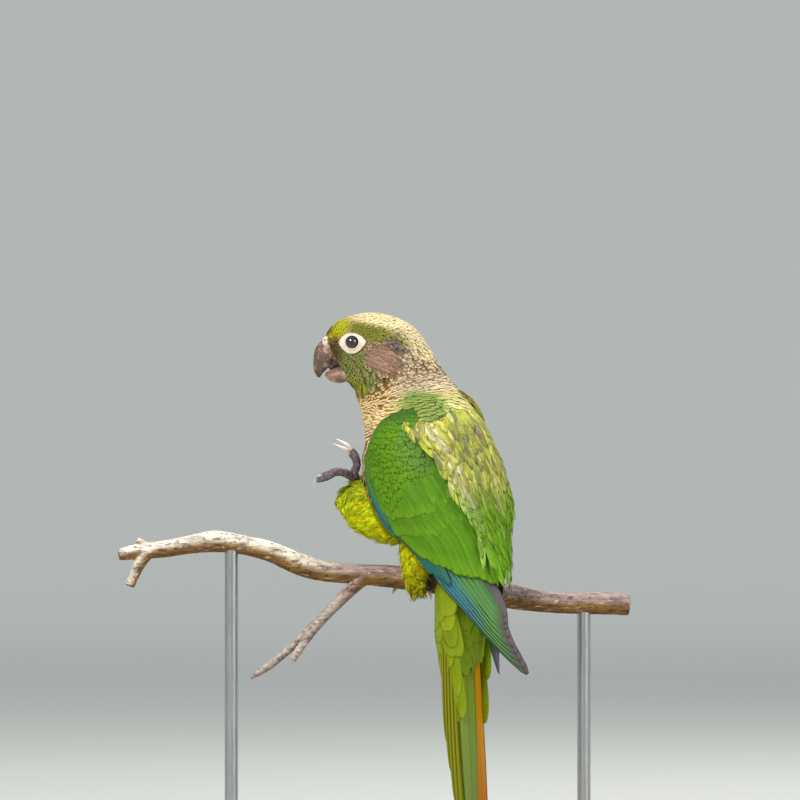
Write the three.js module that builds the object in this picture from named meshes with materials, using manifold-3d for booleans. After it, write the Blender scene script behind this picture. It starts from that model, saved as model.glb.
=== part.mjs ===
// A maroon-bellied parakeet (Pyrrhura frontalis), life size, standing on one foot on a short
// piece of branch, with the other foot raised. A plain display stand holds the branch.
// Millimetres, +Z up. The origin is the centre of the underside of the stand's base.
// Seen along +Y, +X is to the right: the head looks towards -X and the back is half turned.

import * as THREE from 'three';
import Module from 'manifold-3d';
import { mergeVertices } from 'three/addons/utils/BufferGeometryUtils.js';

const wasm = await Module();
wasm.setup();

// Driving dimensions of the stand and the branch
const BASE_LENGTH = 200;
const BASE_DEPTH = 104;
const BASE_THICK = 12;
const BASE_CORNER = 22;
const BASE_BEVEL = 1.6;
const ROD_DIAMETER = 6;
const ROD_SPREAD = 79.4;
const COLLAR_DIAMETER = 14;
const COLLAR_HEIGHT = 4;
const COLLAR_TAPER = 1;
const TOUCH_GAP = 0.3;

// Driving dimensions of the bird
const BODY_TURN = 38;
const PIVOT_X = 3;
const PIVOT_Y = 6;
const FEATHER_THICK = 0.5;
const FEATHER_PITCH = 0.85;
const TAIL_LENGTH = 122;
const EYE_RADIUS = 4.1;
const EYE_OPENING = 2.9;

const material = (color, roughness, metalness = 0) =>
  new THREE.MeshStandardMaterial({ color, roughness, metalness });

const GREEN = material(0x5f9c1c, 0.7);
const YELLOW_GREEN = material(0xa9b32a, 0.75);
const NECK_BUFF = material(0xb9a468, 0.8);
const CROWN_BUFF = material(0xc9b878, 0.8);
const BLUE = material(0x2f7fa0, 0.6);
const TAIL_OLIVE = material(0x8a8a22, 0.65);
const BILL_HORN = material(0x6a5350, 0.45);
const EYE_DARK = material(0x14100f, 0.15);
const FOOT_GREY = material(0x6b5d6b, 0.7);
const CLAW_HORN = material(0xd8ccba, 0.45);
const BARK = material(0xa58f85, 0.9);
const STAND_BASE = material(0x4b3a2e, 0.5);
const STAND_METAL = material(0x8d8f92, 0.35, 1);

const radians = THREE.MathUtils.degToRad;
const vector = (x, y, z) => new THREE.Vector3(x, y, z);

// A place in the bird's own directions: forward and left of the upright line through the neck,
// with the height. The turn swings forward from -X towards +Y.
function place(forward, left, up, turn = BODY_TURN) {
  const c = Math.cos(radians(turn));
  const s = Math.sin(radians(turn));
  return vector(PIVOT_X - forward * c - left * s, PIVOT_Y + forward * s - left * c, up);
}

// A smooth value through a list of equally long number rows, at a place along the list
function through(rows, at) {
  const last = rows.length - 1;
  const i = Math.min(Math.max(Math.floor(at), 0), last - 1);
  const f = at - i;
  return rows[i].map((_, k) => {
    const b = rows[i][k];
    const c = rows[i + 1][k];
    if (f < 0 || f > 1) return b + (c - b) * f;
    const a = i > 0 ? rows[i - 1][k] : 2 * b - c;
    const d = i + 2 <= last ? rows[i + 2][k] : 2 * c - b;
    const bend = 2 * a - 5 * b + 4 * c - d;
    const twist = 3 * b - a - 3 * c + d;
    return b + 0.5 * f * (c - a + f * (bend + f * twist));
  });
}

// A closed solid from points and triangles, turned right way out
function solid(points, faces) {
  let volume = 0;
  for (const [a, b, c] of faces) {
    volume += points[a].dot(points[b].clone().cross(points[c]));
  }
  const turned = volume < 0 ? faces.map(([a, b, c]) => [a, c, b]) : faces;
  const mesh = new wasm.Mesh({
    numProp: 3,
    vertProperties: new Float32Array(points.flatMap((p) => [p.x, p.y, p.z])),
    triVerts: new Uint32Array(turned.flat()),
  });
  return new wasm.Manifold(mesh);
}

// A closed solid through rings of points, with a fan over each end
function loft(rings) {
  const sides = rings[0].length;
  const points = rings.flat();
  const faces = [];
  for (let i = 0; i + 1 < rings.length; i++) {
    for (let j = 0; j < sides; j++) {
      const k = (j + 1) % sides;
      const here = i * sides;
      const next = here + sides;
      faces.push([here + j, here + k, next + k], [here + j, next + k, next + j]);
    }
  }
  for (const [ring, first] of [[rings[0], 0], [rings.at(-1), (rings.length - 1) * sides]]) {
    const middle = ring.reduce((sum, p) => sum.add(p), vector(0, 0, 0)).divideScalar(sides);
    points.push(middle);
    for (let j = 0; j < sides; j++) {
      const k = (j + 1) % sides;
      const hub = points.length - 1;
      faces.push(first ? [hub, first + j, first + k] : [hub, k, j]);
    }
  }
  return solid(points, faces);
}

// A thin closed solid between two like grids of points, split alike on both faces
function plate(top, bottom) {
  const rows = top.length;
  const columns = top[0].length;
  const points = [...top.flat(), ...bottom.flat()];
  const under = rows * columns;
  const faces = [];
  const at = (i, j) => i * columns + j;
  for (let i = 0; i + 1 < rows; i++) {
    for (let j = 0; j + 1 < columns; j++) {
      const [a, b, c, d] = [at(i, j), at(i, j + 1), at(i + 1, j), at(i + 1, j + 1)];
      faces.push([a, b, d], [a, d, c]);
      faces.push([under + a, under + d, under + b], [under + a, under + c, under + d]);
    }
  }
  const wall = (a, b) => faces.push([b, a, under + a], [b, under + a, under + b]);
  for (let i = 0; i + 1 < rows; i++) {
    wall(at(i + 1, 0), at(i, 0));
    wall(at(i, columns - 1), at(i + 1, columns - 1));
  }
  for (let j = 0; j + 1 < columns; j++) {
    wall(at(0, j), at(0, j + 1));
    wall(at(rows - 1, j + 1), at(rows - 1, j));
  }
  return solid(points, faces);
}

// A closed solid from a library shape, scaled and then moved to its place
function shaped(geometry, at, scale = [1, 1, 1]) {
  geometry.deleteAttribute('normal');
  geometry.deleteAttribute('uv');
  const merged = mergeVertices(geometry, 1e-4);
  merged.scale(...scale);
  merged.translate(at.x, at.y, at.z);
  const mesh = new wasm.Mesh({
    numProp: 3,
    vertProperties: new Float32Array(merged.attributes.position.array),
    triVerts: new Uint32Array(merged.index.array),
  });
  return new wasm.Manifold(mesh);
}

const ball = (at, scale, sides = 10, rows = 7) =>
  shaped(new THREE.SphereGeometry(1, sides, rows), at, scale);

const fuse = (pieces) => pieces.reduce((all, piece) => all.add(piece));

// A tube of changing radius along a line of points
function tube(points, radii, sides = 8, grow = 0) {
  const rings = points.map((p, i) => {
    const before = points[Math.max(i - 1, 0)];
    const after = points[Math.min(i + 1, points.length - 1)];
    const along = after.clone().sub(before).normalize();
    const side = along.clone().cross(vector(0.21, 0.93, 0.3)).normalize();
    const up = side.clone().cross(along);
    const r = radii[i] + grow;
    return Array.from({ length: sides }, (_, j) => {
      const a = (2 * Math.PI * j) / sides;
      return p.clone().addScaledVector(side, r * Math.cos(a)).addScaledVector(up, r * Math.sin(a));
    });
  });
  return loft(rings);
}

// The same, smoothed through a few hand-set places of [x, y, z, radius]
function limb(places, steps, sides = 8, grow = 0) {
  const rows = Array.from({ length: steps + 1 }, (_, i) =>
    through(places, (i * (places.length - 1)) / steps));
  return tube(rows.map((r) => vector(r[0], r[1], r[2])), rows.map((r) => r[3]), sides, grow);
}

// Flesh: sections from the vent to the face, each by its front and back place in the bird's
// middle plane (forward, up), its half width and the turn of the neck there
const section = (front, back, wide, turn) => [...front, ...back, wide, turn];
const FLESH = [
  section([-23.5, 140.5], [-34.5, 142.5], 8.5, 38),
  section([-17.5, 146], [-39, 151], 13.5, 38),
  section([-8, 152.8], [-42, 162], 18.5, 38),
  section([3.5, 160.5], [-43.4, 174], 22, 38),
  section([12.5, 168.5], [-42.3, 186], 24, 38),
  section([18, 178], [-39.5, 197.5], 25, 38),
  section([21.5, 188], [-36, 208.5], 25.2, 38),
  section([22.5, 198.5], [-31.8, 217], 24.8, 37),
  section([23, 208], [-27, 223], 23, 34),
  section([24.6, 217], [-22.3, 227], 20, 26),
  section([25.8, 223.5], [-16.5, 233.5], 17.5, 14),
  section([27.8, 229], [-11.8, 240], 15.6, 6),
  section([29.6, 231.3], [-7, 248], 14.4, 0),
  section([30.8, 232.8], [-0.5, 257], 14.2, 0),
  section([32, 235.3], [8.5, 262], 13.9, 0),
  section([33.2, 238], [20, 264], 13.2, 0),
  section([34.4, 241], [30, 262], 11.6, 0),
  section([35.8, 244], [36.5, 258.4], 9, 0),
  section([38, 247.2], [40, 253.6], 5.2, 0),
];
const FLESH_SIDES = 24;
const FLESH_ROWS = 28;
const NECK_CUT = 8.4;
const HEAD_CUT = 11.2;

// A place on the flesh: the row along the body, the angle from the front round to the left
function fleshAt(row, angle, grow = 0) {
  const [fs, fz, bs, bz, wide, turn] = through(FLESH, row);
  const depth = Math.hypot(fs - bs, fz - bz) / 2;
  const stretch = (depth + grow) / depth;
  const c = Math.cos(angle) * stretch;
  const s = Math.sin(angle) * (wide + grow);
  const forward = (fs + bs) / 2 + (c * (fs - bs)) / 2;
  const up = (fz + bz) / 2 + (c * (fz - bz)) / 2;
  return place(forward, s, up, turn);
}

// The whole body of flesh. A grown one reaches past both ends as well.
const ROWS_PER_MILLIMETRE = 0.25;
function flesh(grow = 0) {
  const last = FLESH.length - 1;
  const over = grow * ROWS_PER_MILLIMETRE;
  const rings = Array.from({ length: FLESH_ROWS + 1 }, (_, i) =>
    Array.from({ length: FLESH_SIDES }, (_, j) =>
      fleshAt(-over + (i * (last + 2 * over)) / FLESH_ROWS, (2 * Math.PI * j) / FLESH_SIDES, grow)));
  return loft(rings);
}

// The Y of the head's side at a place seen from the side
const SEARCH_STEP = 0.05;
function headSide(x, z, left) {
  let best = { miss: Infinity };
  for (let row = HEAD_CUT; row < FLESH.length; row += SEARCH_STEP) {
    for (let angle = 2 * SEARCH_STEP; angle < Math.PI; angle += SEARCH_STEP) {
      const p = fleshAt(row, left ? angle : -angle);
      const miss = Math.hypot(p.x - x, p.z - z);
      if (miss < best.miss) best = { miss, p };
    }
  }
  return best.p.y;
}

// Cuts square to the flesh between two of its rows
function parting(row) {
  const [fs, fz, bs, bz, , turn] = through(FLESH, row);
  const front = place(fs, 0, fz, turn);
  const back = place(bs, 0, bz, turn);
  const across = place(0, 1, 0, turn).sub(place(0, 0, 0, turn));
  const normal = across.cross(front.clone().sub(back)).normalize();
  if (normal.z < 0) normal.negate();
  return { normal, offset: normal.dot(front) };
}
const above = (body, cut) =>
  body.trimByPlane(cut.normal.toArray(), cut.offset + TOUCH_GAP / 2);
const below = (body, cut) =>
  body.trimByPlane(cut.normal.clone().negate().toArray(), -cut.offset + TOUCH_GAP / 2);

// Wing surface: rows from the shoulder to the tip, each by its leading edge, middle and
// trailing edge as forward, left and up. Tuck draws the lower rows in towards the tail.
const wingRow = (lead, middle, trail, tuck) => [...lead, ...middle, ...trail, tuck];
const WING = [
  wingRow([3, 19.5, 218], [-9.6, 19.6, 222], [-17, 14, 223.4], 0),
  wingRow([8.5, 22.5, 201], [-7, 27, 208], [-24.6, 17, 212.8], 0),
  wingRow([9.3, 22.7, 187.5], [-12, 27.5, 192], [-33.6, 15.4, 198], 0),
  wingRow([-1, 24, 169.5], [-22.5, 25.5, 175], [-40.2, 13, 181], 0),
  wingRow([-17.4, 22.5, 155], [-33, 21, 160], [-44.6, 8, 165.2], 0.1),
  wingRow([-24.9, 19.5, 142], [-38.5, 17, 146], [-50, 6, 150], 0.3),
  wingRow([-36.4, 14, 129], [-46, 11, 131.5], [-54, 3.5, 135], 0.55),
  wingRow([-47.4, 9, 116.5], [-53.5, 6.5, 119], [-58.5, 2, 121], 0.8),
  wingRow([-62.4, 1.5, 101.4], [-64, 0, 103], [-65.6, -1.5, 105.6], 1),
];

// Each wing: side is 1 on the left, -1 on the right, and tuck is how far its tip is held in
function wingSheet(side, tuck) {
  return {
    side,
    point(u, v) {
      const r = through(WING, v);
      const a = (1 - u) * (1 - 2 * u);
      const b = 4 * u * (1 - u);
      const c = u * (2 * u - 1);
      const [f, l, z] = [0, 1, 2].map((k) => a * r[k] + b * r[k + 3] + c * r[k + 6]);
      return place(f + tuck * Math.max(r[9], 0), side * l, z);
    },
  };
}

// Tail surface: across to the left and down from the root, arched a little over its width
const TAIL_ROOT = { forward: -28.6, up: 139 };
const TAIL_TILT = 3.9;
const TAIL_ARCH = 0.008;
const tailSheet = {
  side: 1,
  point(across, down) {
    const c = Math.cos(radians(TAIL_TILT));
    const s = Math.sin(radians(TAIL_TILT));
    const sag = TAIL_ARCH * across * across;
    return place(TAIL_ROOT.forward - down * s + sag, across, TAIL_ROOT.up - down * c);
  },
};

// The outward direction and the two stretches of a sheet at a place
function sheetFrame(sheet, u, v) {
  const e = 1e-3;
  const along = sheet.point(u, v + e).sub(sheet.point(u, v - e)).divideScalar(2 * e);
  const across = sheet.point(u + e, v).sub(sheet.point(u - e, v)).divideScalar(2 * e);
  const normal = across.clone().cross(along).normalize();
  return { along, across, normal };
}

// One feather as a thin curved vane on a sheet, from its root to its tip in the sheet's own
// numbers. Lift is the height of its middle over the sheet, which changes by drop towards the
// tip, and tilt raises its leading side.
// Its outline is given as steps along it and the share of its width at each.
const LEAF = [[0, 0.72], [0.34, 0.96], [0.66, 1], [0.88, 0.76], [1, 0.26]];
const PADDLE = [[0, 0.7], [0.34, 0.95], [0.68, 1], [0.87, 0.94], [0.96, 0.66], [1, 0.26]];
const TIP_THICK = 0.6;
function vane(sheet, { root, tip, wide, lift, drop = 0, tilt = 0, outline = LEAF, out = 1 }) {
  const top = [];
  const bottom = [];
  outline.forEach(([step, share], i) => {
    const u = root[0] + (tip[0] - root[0]) * step;
    const v = root[1] + (tip[1] - root[1]) * step;
    const { along, across, normal } = sheetFrame(sheet, u, v);
    const way = across.clone().multiplyScalar(tip[0] - root[0])
      .addScaledVector(along, tip[1] - root[1]).normalize();
    const side = way.clone().cross(normal).normalize();
    const [aa, ab, bb] = [across.dot(across), across.dot(along), along.dot(along)];
    const det = aa * bb - ab * ab;
    const [pa, pb] = [side.dot(across), side.dot(along)];
    const du = (pa * bb - pb * ab) / det;
    const dv = (pb * aa - pa * ab) / det;
    const half = (wide * share) / 2;
    const thick = FEATHER_THICK * (i === outline.length - 1 ? TIP_THICK : 1);
    const upper = [];
    const lower = [];
    for (const q of [-half, 0, half]) {
      const [qu, qv] = [u + du * q, v + dv * q];
      const p = sheet.point(qu, qv);
      const n = sheetFrame(sheet, qu, qv).normal.multiplyScalar(out);
      const h = lift + drop * step + tilt * q;
      lower.push(p.clone().addScaledVector(n, h));
      upper.push(p.clone().addScaledVector(n, h + thick));
    }
    top.push(upper);
    bottom.push(lower);
  });
  return plate(top, bottom);
}

// A slab between two heights over part of a sheet, thinner towards its rim by the given share.
// Its low face rises by slope along its length.
function slab(sheet, { u, v, low, high, rim = 1, slope = 0, steps = [6, 8], out = 1 }) {
  const top = [];
  const bottom = [];
  for (let i = 0; i <= steps[1]; i++) {
    const upper = [];
    const lower = [];
    for (let j = 0; j <= steps[0]; j++) {
      const [fu, fv] = [j / steps[0], i / steps[1]];
      const [pu, pv] = [u[0] + (u[1] - u[0]) * fu, v[0] + (v[1] - v[0]) * fv];
      const edge = Math.min(1, 4 * fu * (1 - fu) * 1.6, 4 * fv * (1 - fv) * 1.6 + (fv > 0.5));
      const full = rim + (1 - rim) * Math.sqrt(edge);
      const p = sheet.point(pu, pv);
      const n = sheetFrame(sheet, pu, pv).normal.multiplyScalar(out);
      lower.push(p.clone().addScaledVector(n, low + slope * fv));
      upper.push(p.clone().addScaledVector(n, low + (high - low) * full));
    }
    top.push(upper);
    bottom.push(lower);
  }
  return plate(top, bottom);
}

// The branch: along its middle as x, y, z and radius, from the broken end on the left
const BRANCH = [
  [-130, -9.5, 155.2, 2.6],
  [-121, -8.2, 156.6, 3.6],
  [-110, -7.0, 157.6, 3.9],
  [-98, -5.8, 159.6, 4.2],
  [-87, -4.7, 161, 4.9],
  [-76, -3.6, 159.8, 4.4],
  [-62, -2.2, 156.4, 4.7],
  [-49, -0.9, 150.8, 5],
  [-38, 0.2, 147.6, 4.7],
  [-22, 1.8, 146.2, 4.6],
  [-6, 3.4, 145, 5.3],
  [12, 5.2, 142.6, 5.5],
  [30, 7.0, 139.4, 5.5],
  [48, 8.8, 135.8, 5.6],
  [66, 10.6, 133.2, 4.8],
  [86, 12.6, 133, 5.2],
  [100, 14.0, 132, 4.7],
];
const branchAt = (x) => {
  let i = 0;
  while (i + 2 < BRANCH.length && BRANCH[i + 1][0] < x) i++;
  const f = (x - BRANCH[i][0]) / (BRANCH[i + 1][0] - BRANCH[i][0]);
  return BRANCH[i].map((a, k) => a + (BRANCH[i + 1][k] - a) * f);
};
const branch = (grow = 0) => limb(BRANCH, 28, 8, grow);
const STUB = [[-117, -9, 157, 3.4], [-121.5, -9.6, 149, 2.6], [-125, -10.4, 141, 2.3]];
const KNOT = [[-117, -8, 158, 2.6], [-122, -8.6, 161.5, 1.9]];
const TWIG = [
  [-19, 1, 146, 4.2],
  [-25, 0.2, 140, 3.1],
  [-36, -1.4, 129, 2.6],
  [-45, -2.6, 118, 2.1],
  [-52, -3.4, 107.5, 1.7],
];
const TWIG_LONG = [
  [-35, -0.6, 131, 1.9],
  [-44, 1, 121.5, 2],
  [-55, 2.4, 111, 1.9],
  [-64, 3.4, 104, 1.9],
  [-71, 4, 99.4, 1],
];

const perchBody = () => fuse([branch(), limb(STUB, 4, 7), limb(KNOT, 2, 7)]);
const grownBranch = branch(TOUCH_GAP);

const standRod = (x) => {
  const [, y, z, r] = branchAt(x);
  const foot = BASE_THICK + TOUCH_GAP;
  const length = z - r / 2 - foot;
  const rod = new THREE.CylinderGeometry(ROD_DIAMETER / 2, ROD_DIAMETER / 2, length, 16);
  rod.rotateX(Math.PI / 2);
  const collar = new THREE.CylinderGeometry(COLLAR_DIAMETER / 2 - COLLAR_TAPER, COLLAR_DIAMETER / 2,
    COLLAR_HEIGHT, 16);
  collar.rotateX(Math.PI / 2);
  const whole = shaped(rod, vector(x, y, foot + length / 2))
    .add(shaped(collar, vector(x, y, foot + COLLAR_HEIGHT / 2)));
  return whole.subtract(grownBranch);
};

function standBase() {
  const [w, d, r] = [BASE_LENGTH / 2, BASE_DEPTH / 2, BASE_CORNER];
  const outline = new THREE.Shape();
  outline.moveTo(-w + r, -d);
  outline.lineTo(w - r, -d);
  outline.absarc(w - r, -d + r, r, -Math.PI / 2, 0);
  outline.absarc(w - r, d - r, r, 0, Math.PI / 2);
  outline.absarc(-w + r, d - r, r, Math.PI / 2, Math.PI);
  outline.absarc(-w + r, -d + r, r, Math.PI, 1.5 * Math.PI);
  const block = new THREE.ExtrudeGeometry(outline, {
    depth: BASE_THICK - 2 * BASE_BEVEL,
    bevelThickness: BASE_BEVEL,
    bevelSize: BASE_BEVEL,
    bevelOffset: -BASE_BEVEL,
    bevelSegments: 1,
    curveSegments: 6,
  });
  return shaped(block, vector(0, 0, BASE_BEVEL));
}

// Head: bill, eyes, lids and nostrils are set from the flesh of the face
const HEAD_Y = PIVOT_Y;
const EYE_AT = { x: -25.2, z: 250.6 };
const EYE_PROUD = 1.1;
const eyeCentre = (left) => {
  const skin = headSide(EYE_AT.x, EYE_AT.z, left);
  const inward = left ? 1 : -1;
  return vector(EYE_AT.x, skin + inward * (EYE_RADIUS - EYE_PROUD), EYE_AT.z);
};
const eye = (left, grow = 0) => {
  const r = EYE_RADIUS + grow;
  return ball(eyeCentre(left), [r, r, r], 12, 8);
};

// The bare ring round the eye: pointed behind, in front and below, as long as given
const RING_STEPS = 14;
const RING_REACH = [
  [6.6, 0, 0.4], [5, 35, 0.6], [4.3, 90, 1], [5, 145, 0.6], [6.2, 185, 0.5], [4.8, 225, 0.7],
  [5.4, 275, 0.4], [4.6, 320, 0.7],
];
function ringAt(degrees) {
  const list = RING_REACH;
  let i = list.length - 1;
  while (i > 0 && list[i][1] > degrees) i--;
  const [a, b] = [list[i], list[(i + 1) % list.length]];
  const span = (b[1] - a[1] + 360) % 360;
  return a[0] + ((b[0] - a[0]) * (degrees - a[1])) / span;
}
function eyeRing(left) {
  const outward = left ? -1 : 1;
  const rings = Array.from({ length: RING_STEPS }, (_, i) => {
    const degrees = (360 * i) / RING_STEPS;
    const c = Math.cos(radians(degrees));
    const s = Math.sin(radians(degrees));
    const reach = ringAt(degrees);
    const at = (r, height) => {
      const x = EYE_AT.x + r * c;
      const z = EYE_AT.z + r * s;
      return vector(x, headSide(x, z, left) + outward * height, z);
    };
    const lid = EYE_OPENING;
    return [at(reach, -0.6), at(reach - 0.2, 0.25), at(lid + 1, 0.5), at(lid + 0.35, 1),
      at(lid, 0.8), at(lid, -1.2)];
  });
  return loftClosed(rings);
}

// A closed band through rings that come back to the first
function loftClosed(rings) {
  const sides = rings[0].length;
  const faces = [];
  rings.forEach((_, i) => {
    const here = i * sides;
    const next = ((i + 1) % rings.length) * sides;
    for (let j = 0; j < sides; j++) {
      const k = (j + 1) % sides;
      faces.push([here + j, here + k, next + k], [here + j, next + k, next + j]);
    }
  });
  return solid(rings.flat(), faces);
}

// Bills: sections by the front and back place in the middle plane and the half width
function billLoft(rows, steps, grow = 0) {
  const rings = Array.from({ length: steps + 1 }, (_, i) => {
    const [fs, fz, bs, bz, wide] = through(rows, (i * (rows.length - 1)) / steps);
    const depth = Math.hypot(fs - bs, fz - bz) / 2;
    return Array.from({ length: 12 }, (_, j) => {
      const a = (2 * Math.PI * j) / 12;
      const c = Math.cos(a) * (1 + grow / depth);
      const s = Math.sin(a) * (wide + grow) * (1 - 0.16 * Math.cos(a));
      return place((fs + bs) / 2 + (c * (fs - bs)) / 2, s, (fz + bz) / 2 + (c * (fz - bz)) / 2, 0);
    });
  });
  return loft(rings);
}
const UPPER_BILL = [
  [39.5, 253, 33, 246.5, 4.2],
  [42.2, 250.8, 35, 244.2, 4.9],
  [44.3, 248.2, 36.4, 242.4, 4.9],
  [45.3, 244.6, 37.6, 240.4, 4.4],
  [45.5, 240.8, 39.2, 238.8, 3.5],
  [45.1, 237.4, 41.2, 236.8, 2.2],
  [43.8, 234.9, 42.6, 234.7, 0.7],
];
const LOWER_BILL = [
  [30, 240.5, 29, 233.5, 4.6],
  [34, 240, 33, 232.2, 4.5],
  [36.8, 238.8, 36.6, 232.6, 3.9],
  [38.8, 237.6, 39.2, 234, 2.9],
  [39.9, 237.2, 40.4, 235.6, 1.6],
];
const TONGUE = [
  [35, 6, 240.6, 1.4],
  [37, 6, 240.2, 1.8],
  [38.9, 6, 239.2, 1.5],
];
const NOSTRIL = { forward: 40.2, side: 4.5, up: 251.4, radius: 0.75 };
const CERE = { forward: 39.4, side: 2.5, up: 250.8, size: [2.2, 2.4, 2.6] };

const wholeFlesh = flesh();
const grownFlesh = flesh(TOUCH_GAP);
const cere = (grow) => fuse([1, -1].map((s) =>
  ball(place(CERE.forward, s * CERE.side, CERE.up, 0), CERE.size.map((r) => r + grow))));

const headBase = above(wholeFlesh, parting(HEAD_CUT));
const nostrils = fuse([1, -1].map((s) =>
  ball(place(NOSTRIL.forward, s * NOSTRIL.side, NOSTRIL.up, 0),
    [NOSTRIL.radius, NOSTRIL.radius * 2, NOSTRIL.radius], 8, 6)));
const eyes = { left: eye(true), right: eye(false) };
const head = headBase.add(cere(0)).add(eyeRing(true)).add(eyeRing(false))
  .subtract(nostrils)
  .subtract(eye(true, TOUCH_GAP))
  .subtract(eye(false, TOUCH_GAP));
const grownFace = grownFlesh.add(cere(TOUCH_GAP));
const upperBill = billLoft(UPPER_BILL, 12).subtract(grownFace);
const lowerBill = billLoft(LOWER_BILL, 8).subtract(grownFace)
  .subtract(billLoft(UPPER_BILL, 12, TOUCH_GAP));
const tongue = limb(TONGUE.map(([f, y, z, r]) => [PIVOT_X - f, y, z, r]), 4, 7)
  .subtract(grownFace)
  .subtract(billLoft(LOWER_BILL, 8, TOUCH_GAP))
  .subtract(billLoft(UPPER_BILL, 12, TOUCH_GAP));
const neck = below(above(wholeFlesh, parting(NECK_CUT)), parting(HEAD_CUT));
const torso = below(wholeFlesh, parting(NECK_CUT));

// Perched foot: toes bend round the branch, the front pair forward and the back pair behind
const FOOT_X = 3.3;
const TOE_RADIUS = 1.75;
function gripToe(start, spread, reach, behind) {
  const steps = 7;
  return Array.from({ length: steps + 1 }, (_, i) => {
    const f = i / steps;
    const [x, y, z, r] = branchAt(start + spread * f);
    const toe = TOE_RADIUS * (1 - 0.28 * f) * (i % 2 ? 1 : 0.93);
    const out = r + TOUCH_GAP + 0.15 + toe;
    const a = radians(reach * (0.04 + 0.96 * f));
    const side = behind ? -1 : 1;
    return [x, y + side * out * Math.sin(a), z + out * Math.cos(a), toe];
  });
}
const GRIP_TOES = [
  gripToe(FOOT_X - 1, -7.5, 128, false),
  gripToe(FOOT_X + 1.4, -1.5, 118, false),
  gripToe(FOOT_X + 1, 5, 124, true),
  gripToe(FOOT_X - 1.4, -2, 108, true),
];

// Raised foot: toes curl round an empty grip, with one claw held up
const RAISED_PALM = [-24.6, 8.2, 190.4];
const RAISED_TOES = [
  [[-25.4, 6.4, 190.2, 2], [-28.6, 2.6, 191.8, 1.9], [-32.6, 1, 192, 1.75],
    [-36.8, 1.6, 189.8, 1.6], [-40.6, 4.4, 188.6, 1.35]],
  [[-25.4, 9.8, 190.4, 2], [-28.2, 13.6, 191.8, 1.85], [-32, 15.2, 192.4, 1.7],
    [-36, 14.2, 191.4, 1.5], [-39.2, 11.4, 190.2, 1.3]],
  [[-24.6, 6.6, 191.4, 2], [-23, 4.8, 195.4, 1.8], [-23.6, 4.4, 199.2, 1.6],
    [-25.4, 4.8, 202.2, 1.35]],
  [[-24.6, 10, 191.4, 1.9], [-23.2, 12, 194.8, 1.7], [-24, 12.8, 198, 1.5],
    [-26, 12.6, 200.4, 1.25]],
];

// A claw goes on from the end of a toe and bends towards its hook
function claw(toe, length, hook) {
  const [a, b] = [toe.at(-2), toe.at(-1)];
  const way = vector(b[0] - a[0], b[1] - a[1], b[2] - a[2]).normalize();
  const start = vector(b[0], b[1], b[2]).addScaledVector(way, TOUCH_GAP);
  const steps = 5;
  const points = Array.from({ length: steps + 1 }, (_, i) => {
    const f = i / steps;
    return start.clone().addScaledVector(way, length * f).addScaledVector(hook, length * f * f);
  });
  const radii = points.map((_, i) => b[3] * 0.82 * (1 - 0.86 * (i / steps) ** 1.2));
  return tube(points, radii, 6);
}

const TOE_STEPS = 7;
const toesOf = (toes, grow = 0) => fuse(toes.map((toe) => limb(toe, TOE_STEPS, 6, grow)));
const [, perchY, perchZ, perchR] = branchAt(FOOT_X);
const GRIP_PALM = vector(FOOT_X, perchY, perchZ + perchR + 2.4);
const gripPalm = (grow = 0) => ball(GRIP_PALM, [3.4 + grow, 3 + grow, 2 + grow]);
const raisedPalm = (grow = 0) =>
  ball(vector(...RAISED_PALM), [2.6 + grow, 3.4 + grow, 2.8 + grow]);
const leftFoot = gripPalm().add(toesOf(GRIP_TOES)).subtract(grownBranch);
const rightFoot = raisedPalm().add(toesOf(RAISED_TOES));

// Legs: a bare shank from the foot into the thigh, and feathered thighs against the belly
const LEFT_SHANK = [[FOOT_X + 0.2, perchY - 0.2, perchZ + perchR + 3.2, 1.8],
  [4.2, 1.8, 157, 1.7], [5.4, 0.8, 163, 2]];
const RIGHT_SHANK = [[-23.4, 8.6, 188.4, 1.8], [-19.6, 10.2, 184.4, 1.7],
  [-15.5, 11.6, 180, 2]];
const LEFT_THIGH = [[9, 0, 174, 10], [6.2, -2.6, 165, 9], [3.8, -5.6, 155, 6.8],
  [3.2, -7.8, 146, 5.2], [4.6, -8.4, 137.5, 2.6]];
const RIGHT_THIGH = [[8, 9, 170, 8], [-3, 12.6, 173.4, 14.2], [-13, 13, 176.4, 13.8],
  [-21.8, 13, 177.6, 10.6], [-28, 13.4, 178, 5.4], [-30.6, 13.6, 178.4, 2]];
const shank = (places, grow = 0) => limb(places, 4, 8, grow);
const thigh = (places) => limb(places, 2 * places.length - 1, 12).subtract(grownFlesh);

const leftShank = shank(LEFT_SHANK).subtract(toesOf(GRIP_TOES, TOUCH_GAP))
  .subtract(gripPalm(TOUCH_GAP)).subtract(grownFlesh);
const rightShank = shank(RIGHT_SHANK).subtract(raisedPalm(TOUCH_GAP)).subtract(grownFlesh);
const leftThigh = thigh(LEFT_THIGH).subtract(grownBranch).subtract(shank(LEFT_SHANK, TOUCH_GAP))
  .subtract(gripPalm(TOUCH_GAP)).subtract(toesOf(GRIP_TOES, TOUCH_GAP));
const rightThigh = thigh(RIGHT_THIGH).subtract(shank(RIGHT_SHANK, TOUCH_GAP));

// Wings: a shoulder whose coverts overhang the secondaries, with the primaries under those.
// Each layer has its own band of heights over the wing surface.
const SHOULDER_END = 2.3;
const PRIMARY_BAND = [-1.8, 0.5];
const SECONDARY_BAND = [0.9, 2.6];
const COVERT_BAND = [2.9, 4.7];
const PRIMARIES = 6;
const SECONDARIES = 6;
const COVERTS = 6;
const row = (count, make) => Array.from({ length: count }, (_, i) => make(i / (count - 1)));
const middle = ([low, high]) => (low + high - FEATHER_THICK) / 2;

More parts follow.
